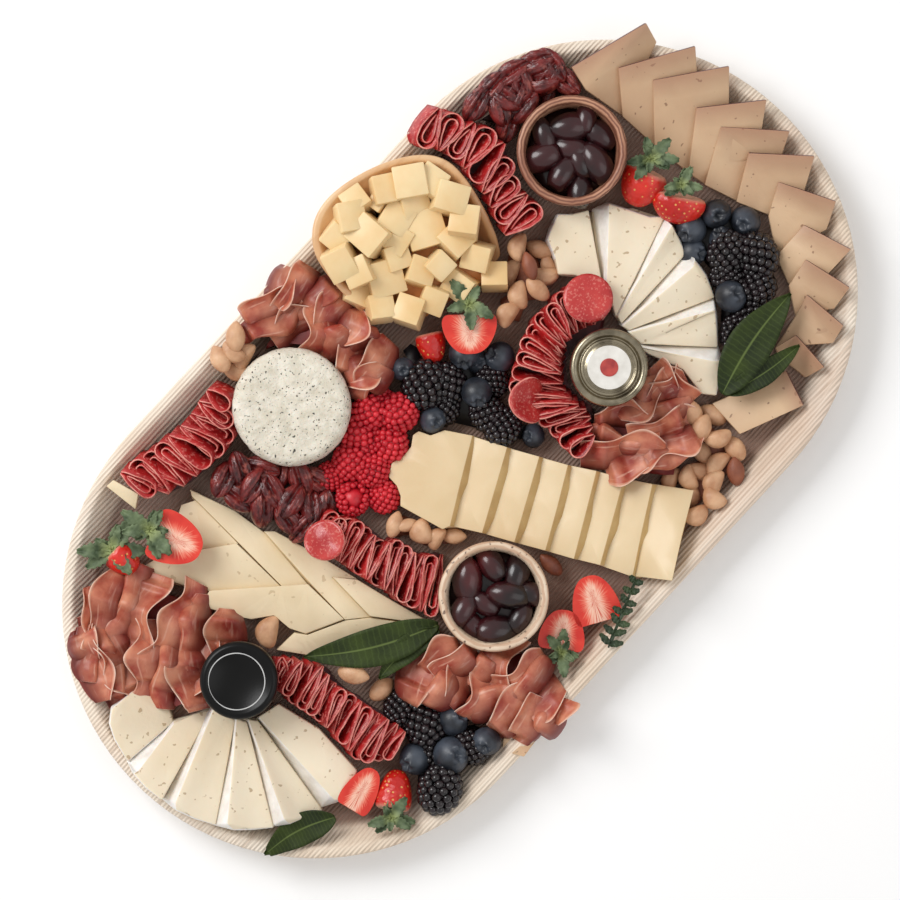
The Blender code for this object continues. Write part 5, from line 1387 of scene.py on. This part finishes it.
# Raspberries: soft crimson fruits built of small matt beads, heaped between the wheel and the yellow
# row. One shows the hole that its stalk left.

top = surface("raspberries")
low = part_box("raspberries")[0].z / MM
mesh = bmesh.new()
raspberries = (
    (-50, 43, 11.5, 30, 0), (-35, 51, 12, 80, 0), (-21, 55, 11.5, 10, 0), (-9, 42, 12, 120, 0),
    (-27, 33, 11.5, 60, 0), (-45, 30, 10.5, 150, 0), (-66, 27, 10.5, 0, 0.22), (-52, 14, 10, 45, 0),
    (-65, 46, 9, 90, 0), (-12, 54, 9, 30, 0), (-38, 41, 9, 0, 0),
)
for x, y, radius, turn, hollow in raspberries:
    height = max(top(x, y), low + radius * 1.7) - radius * 0.95 + draws.uniform(-3.5, 1.5)
    size = (radius * 0.95, radius * 0.9, radius * 0.9)
    tip = -80 if hollow else draws.uniform(-50, -15)
    beads(mesh, (x, y, height), size, turn, radius * 0.175, 96, tip, hollow)
bmesh.ops.recalc_face_normals(mesh, faces=mesh.faces)
put_on_board("raspberry_heap", mesh, [RED_BEAD], ["raspberries"])
core("raspberry_heap_under", "raspberries", 0.4, RED_UNDER, 0.86)

# Strawberries: ripe red fruit with their leafy tops, some whole and some cut in half to show the pale
# flesh and darker heart. Little pale seeds sit in dimples all over the skin.

STRAWBERRY = food("strawberry_skin", (186, 22, 16), (220, 44, 30), 40, 400, 0.3, 0.08, coat=0.2, glow=0.12)
seeds = pattern(STRAWBERRY, "ShaderNodeTexVoronoi", Scale=330, Randomness=0.75)
tint(STRAWBERRY, seeds.outputs["Distance"], 0.26, 0.16, 0.85, (226, 176, 96))
add_height(STRAWBERRY, seeds.outputs["Distance"], 0.7, 0.0008)
shoulder = attribute(STRAWBERRY, "shoulder")
tint(STRAWBERRY, shoulder, 0.05, 0.7, 0.9, (234, 190, 164))
CUT_FRUIT = food("strawberry_flesh", (206, 40, 28), (224, 62, 44), 90, 500, 0.35, 0.1, coat=0.15, glow=0.15)
flesh = attribute(CUT_FRUIT, "flesh")
spoke = CUT_FRUIT.node_tree.nodes.new("ShaderNodeCombineXYZ")
CUT_FRUIT.node_tree.links.new(attribute(CUT_FRUIT, "ray"), spoke.inputs["X"])
CUT_FRUIT.node_tree.links.new(flesh, spoke.inputs["Y"])
teeth = CUT_FRUIT.node_tree.nodes.new("ShaderNodeTexNoise")
teeth.inputs["Scale"].default_value = 1.6
teeth.inputs["Detail"].default_value = 3.0
CUT_FRUIT.node_tree.links.new(spoke.outputs["Vector"], teeth.inputs["Vector"])
ragged = CUT_FRUIT.node_tree.nodes.new("ShaderNodeMath")
ragged.operation = "MULTIPLY_ADD"
ragged.inputs[1].default_value = 0.9
CUT_FRUIT.node_tree.links.new(teeth.outputs["Fac"], ragged.inputs[0])
CUT_FRUIT.node_tree.links.new(flesh, ragged.inputs[2])
tint(CUT_FRUIT, ragged.outputs[0], 0.84, 1.02, 0.85, (234, 122, 98))
tint(CUT_FRUIT, ragged.outputs[0], 1.02, 1.24, 0.9, (244, 204, 180))
tint(CUT_FRUIT, ragged.outputs[0], 1.32, 1.42, 0.85, (206, 70, 48))
SEPAL = food("strawberry_leaf", (52, 70, 40), (116, 132, 96), 130, 600, 0.6, 0.35)
tint(SEPAL, attribute(SEPAL, "share"), 0.4, 0.0, 0.7, (168, 178, 110))


def sepals(mesh, centre, reach, count, lift, seed):
    """A ring of pointed leaves that arch up and out from the fruit's shoulder."""
    for i in range(count):
        angle = math.tau * (i + 0.35 * math.sin(seed + i * 2.3)) / count
        out = Vector((math.cos(angle), math.sin(angle), 0))
        side = Vector((-out.y, out.x, 0))
        length = reach * (1.05 + 0.35 * math.sin(seed * 3.1 + i * 1.9))
        rise = lift * (0.7 + 0.5 * math.sin(seed + i * 4.1))

        def place(u, v):
            breadth = length * 0.44 * math.sin(math.pi * min(u * 0.86 + 0.1, 1.0)) ** 0.9
            breadth *= 1 + 0.16 * math.sin(u * 34)
            cup = 1.6 * (2 * v - 1) ** 2 + 0.6 * math.sin(u * 9 + i)
            height = rise * math.sin(u * math.pi * 0.72) + cup
            point = centre + out * (u * length) + side * ((v - 0.5) * breadth)
            return point + Vector((0, 0, height)), u

        sheet(mesh, 22, 4, place)


def strawberry(name, node, butt, tip, width, thick, rise, cut=False, crown=0, where=None, at=0.0, up=0.0):
    """One fruit from its leafy end to its tip. The rise is its underside at the tip, and up is how
    much higher its leafy end lies. A cut one shows its flat face to the sky."""
    start, end = Vector((*butt, rise + up)), Vector((*tip, rise))
    way = (end - start).normalized()
    side = Vector((-way.y, way.x, 0)).normalized()
    above = way.cross(side) * (-1 if way.cross(side).z < 0 else 1)
    length = (end - start).length
    part = bmesh.new()
    ball(part, (0, 0, 0), (1, 1, 1), 0, 0, 0, 34, 26)
    flesh_layer = part.verts.layers.float.new("flesh")
    shoulder_layer = part.verts.layers.float.new("shoulder")
    ray_layer = part.verts.layers.float.new("ray")
    for vert in part.verts:
        around = vert.co.copy()
        share = math.acos(max(min(around.x, 1), -1)) / math.pi
        ring = math.sin(math.pi * share ** 0.66) ** 0.75
        spread = Vector((around.y, around.z)).normalized() if abs(around.x) < 0.9999 else Vector((0, 0))
        across, high = spread.x * ring, spread.y * ring
        vert[shoulder_layer] = max(0.0, 1 - share / 0.28)
        if cut and around.z > -0.02:
            vert[flesh_layer] = max(1 - abs(spread.x) * ring ** 0.5, 0.01) * min(1.0, ring * 1.2)
            vert[ray_layer] = 9 * math.atan2(abs(across), around.x) * (1 if across > 0 else -1)
            high = 0.03
        dent = 0.07 * math.exp(-((share / 0.12) ** 2))
        along = start + way * (length * (0.5 - 0.5 * around.x + dent))
        bottom = thick / 2 if not cut else thick
        vert.co = along + side * (across * width / 2) + above * (high * bottom) + Vector((0, 0, bottom))
    for face in part.faces:
        if cut and all(vert[flesh_layer] > 0 for vert in face.verts):
            face.material_index = 1
    bmesh.ops.recalc_face_normals(part, faces=part.faces)
    put_on_board(name, part, [STRAWBERRY, CUT_FRUIT], [node], sharp=60)
    if crown:
        mesh = bmesh.new()
        centre = Vector((*(where or butt), rise + up + thick * (0.55 if not cut else 0.98) + at))
        sepals(mesh, centre, crown, 8, 3.4, butt[0])
        thicken(put_on_board(name + "_leaves", mesh, [SEPAL], [node]), 0.5)


strawberry("strawberry_top_left_fruit", "strawberry_top_left", (-186, 112), (-186, 93), 20, 18, 12,
           crown=16, at=3)
strawberry("strawberry_half_left_fruit", "strawberry_half_left", (-161, 103), (-150, 72), 32, 10, 25,
           cut=True, crown=15)
strawberry("strawberry_red_middle_fruit", "strawberry_red_middle", (39, 62), (28, 46), 18, 17, 8)
strawberry("strawberry_half_middle_fruit", "strawberry_half_middle", (64, 52), (46, 34), 33, 17, 12,
           cut=True, crown=13, where=(68, 55), at=0)
strawberry("strawberry_upper_fruit", "strawberry_right_upper", (201, 31), (178, 24), 27, 20, 8,
           crown=12, where=(205, 34), at=7, up=6)
strawberry("strawberry_inner_fruit", "strawberry_right_lower", (203, 7), (187, -2), 33, 20, 8,
           crown=9, where=(206, 10), at=7, up=5)
strawberry("strawberry_half_lower_fruit", "strawberry_half_lower", (-49, -127), (-28, -112), 28, 14, 9,
           cut=True, crown=11, where=(-48, -128))
strawberry("strawberry_slice_lower_fruit", "strawberry_slice_lower", (-20, -134), (-4, -108), 29, 14, 9,
           cut=True)
strawberry("strawberry_half_bottom_fruit", "strawberry_half_bottom", (-205, -99), (-176, -93), 21, 16, 8,
           cut=True)
strawberry("strawberry_bottom_fruit", "strawberry_bottom", (-188, -118), (-167, -104), 22, 17, 8,
           crown=11, where=(-190, -120), at=4, up=6)

# Leaves: long sage leaves with a soft dull skin, a pale midrib and fine side veins, laid over the
# edges of the food, and a sprig of small dark leaves by the near rim.

SAGE = food("sage_leaf", (26, 38, 6), (48, 62, 12), 60, 800, 0.6, 0.3)
SAGE.node_tree.nodes["Principled BSDF"].inputs["Specular IOR Level"].default_value = 0.3
across_leaf = attribute(SAGE, "share")
tint(SAGE, across_leaf, 0.07, 0.02, 0.7, (104, 120, 62))
leaf_veins = pattern(SAGE, "ShaderNodeTexWave", space="UV", Scale=7.0, Distortion=2.0)
tint(SAGE, leaf_veins.outputs["Fac"], 0.75, 0.98, 0.2, (80, 98, 44))
add_height(SAGE, leaf_veins.outputs["Fac"], -0.3, 0.0006)


def blade(mesh, base, tip, breadth, height, bow=0.0, cup=1.4):
    """One leaf from its stalk to its point, bowed in plan and folded a little along its midrib."""
    base, tip = Vector(base).to_3d(), Vector(tip).to_3d()
    way = tip - base
    side = Vector((-way.y, way.x, 0)).normalized()

    def place(u, v):
        half = breadth / 2 * max(math.sin(math.pi * min(u ** 0.85 + 0.015, 1.0)), 0.0) ** 0.75 + 0.3
        middle = base + way * u + side * (bow * math.sin(math.pi * u))
        point = middle + side * ((2 * v - 1) * half)
        wave = 0.7 * math.sin(u * 17 + v * 4) * abs(2 * v - 1)
        return Vector((point.x, point.y, height(u) + cup * abs(2 * v - 1) ** 1.5 + wave)), abs(2 * v - 1)

    sheet(mesh, 40, 10, place)


def leafy(name, node, blades):
    """A group of leaves, each as its base, tip, breadth, height along its length, and bow."""
    mesh = bmesh.new()
    for base, tip, breadth, height, bow in blades:
        blade(mesh, base, tip, breadth, height, bow)
    thicken(put_on_board(name, mesh, [SAGE], [node]), 0.55)


leafy("sage_over_triangles", "sage_middle", [
    ((-86, -62), (-155, -16), 23, lambda u: 27.0 + 2.5 * math.sin(u * math.pi), 4),
    ((-88, -64), (-134, -58), 15, lambda u: 26.0 + 2.0 * math.sin(u * math.pi), -3),
])
leafy("sage_by_smoked", "sage_right", [
    ((131, -93), (203, -82), 26, lambda u: 27.5 + 3.0 * math.sin(u * math.pi), 3),
    ((133, -95), (184, -107), 14, lambda u: 27.0 + 2.0 * math.sin(u * math.pi), -2),
])
rest = surface("sage_bottom")
leafy("sage_on_rim", "sage_bottom", [
    ((-213, -95), (-258, -79), 19, lambda u: max(rest(-213 - 45 * u, -95 + 15.5 * u), TRAY_LIP) + 0.8, -3),
])
SPRIG = food("sprig_leaf", (34, 50, 28), (62, 80, 46), 90, 600, 0.5, 0.25)
mesh = bmesh.new()
for i in range(7):
    share = i / 6
    base = Vector((-25 + 37.5 * share, -145 + 14 * share, 0))
    for turn in (1.1, -1.1):
        out = Vector((37.5, 14, 0)).normalized()
        out.rotate(Euler((0, 0, turn + 0.25 * math.sin(i * 2.7))))
        length = 8.5 - 3.5 * share
        blade(mesh, base, base + out * length, 3.6, lambda u: 29.0 + 1.4 * u, 0, 0.3)
blade(mesh, (-27, -146), (14, -130.5), 1.4, lambda u: 28.8, 0, 0.1)
thicken(put_on_board("dark_sprig", mesh, [SPRIG], ["thyme_sprig"]), 0.5)

# Stage: a plain pale floor under soft daylight from the board's far left, seen from straight above.

FLOOR = food("studio_floor", (252, 252, 252), (254, 254, 254), 2, 20, 0.9, 0.0)
mesh = bmesh.new()
bmesh.ops.create_grid(mesh, x_segments=8, y_segments=8, size=4.0)
data = bpy.data.meshes.new("studio_floor")
mesh.to_mesh(data)
mesh.free()
data.materials.append(FLOOR)
floor = bpy.data.objects.new("studio_floor", data)
floor.location = (0, 0, -0.0006)
bpy.context.scene.collection.objects.link(floor)


def lamp(name, place, size, power):
    """A soft square light that looks at the board."""
    light = bpy.data.lights.new(name, "AREA")
    light.shape = "SQUARE"
    light.size = size
    light.energy = power
    holder = bpy.data.objects.new(name, light)
    holder.location = place
    holder.rotation_euler = (-Vector(place)).to_track_quat("-Z", "Y").to_euler()
    bpy.context.scene.collection.objects.link(holder)


lamp("window", (-0.25, 1.5, 1.5), 1.1, 28)
lamp("fill", (0.6, -1.4, 1.8), 1.6, 6)
sky = bpy.data.worlds.new("studio")
sky.use_nodes = True
sky.node_tree.nodes["Background"].inputs["Color"].default_value = (1.0, 0.99, 0.98, 1)
sky.node_tree.nodes["Background"].inputs["Strength"].default_value = 0.63
bpy.context.scene.world = sky
bpy.context.scene.view_settings.view_transform = "Standard"

lens = bpy.data.cameras.new("overhead")
lens.lens = 146.67
lens.sensor_width = 36
camera = bpy.data.objects.new("overhead", lens)
camera.location = (-0.00452, 0.00399, 2.225)
camera.rotation_euler = (0, 0, math.radians(-47.2))
bpy.context.scene.collection.objects.link(camera)
bpy.context.scene.camera = camera
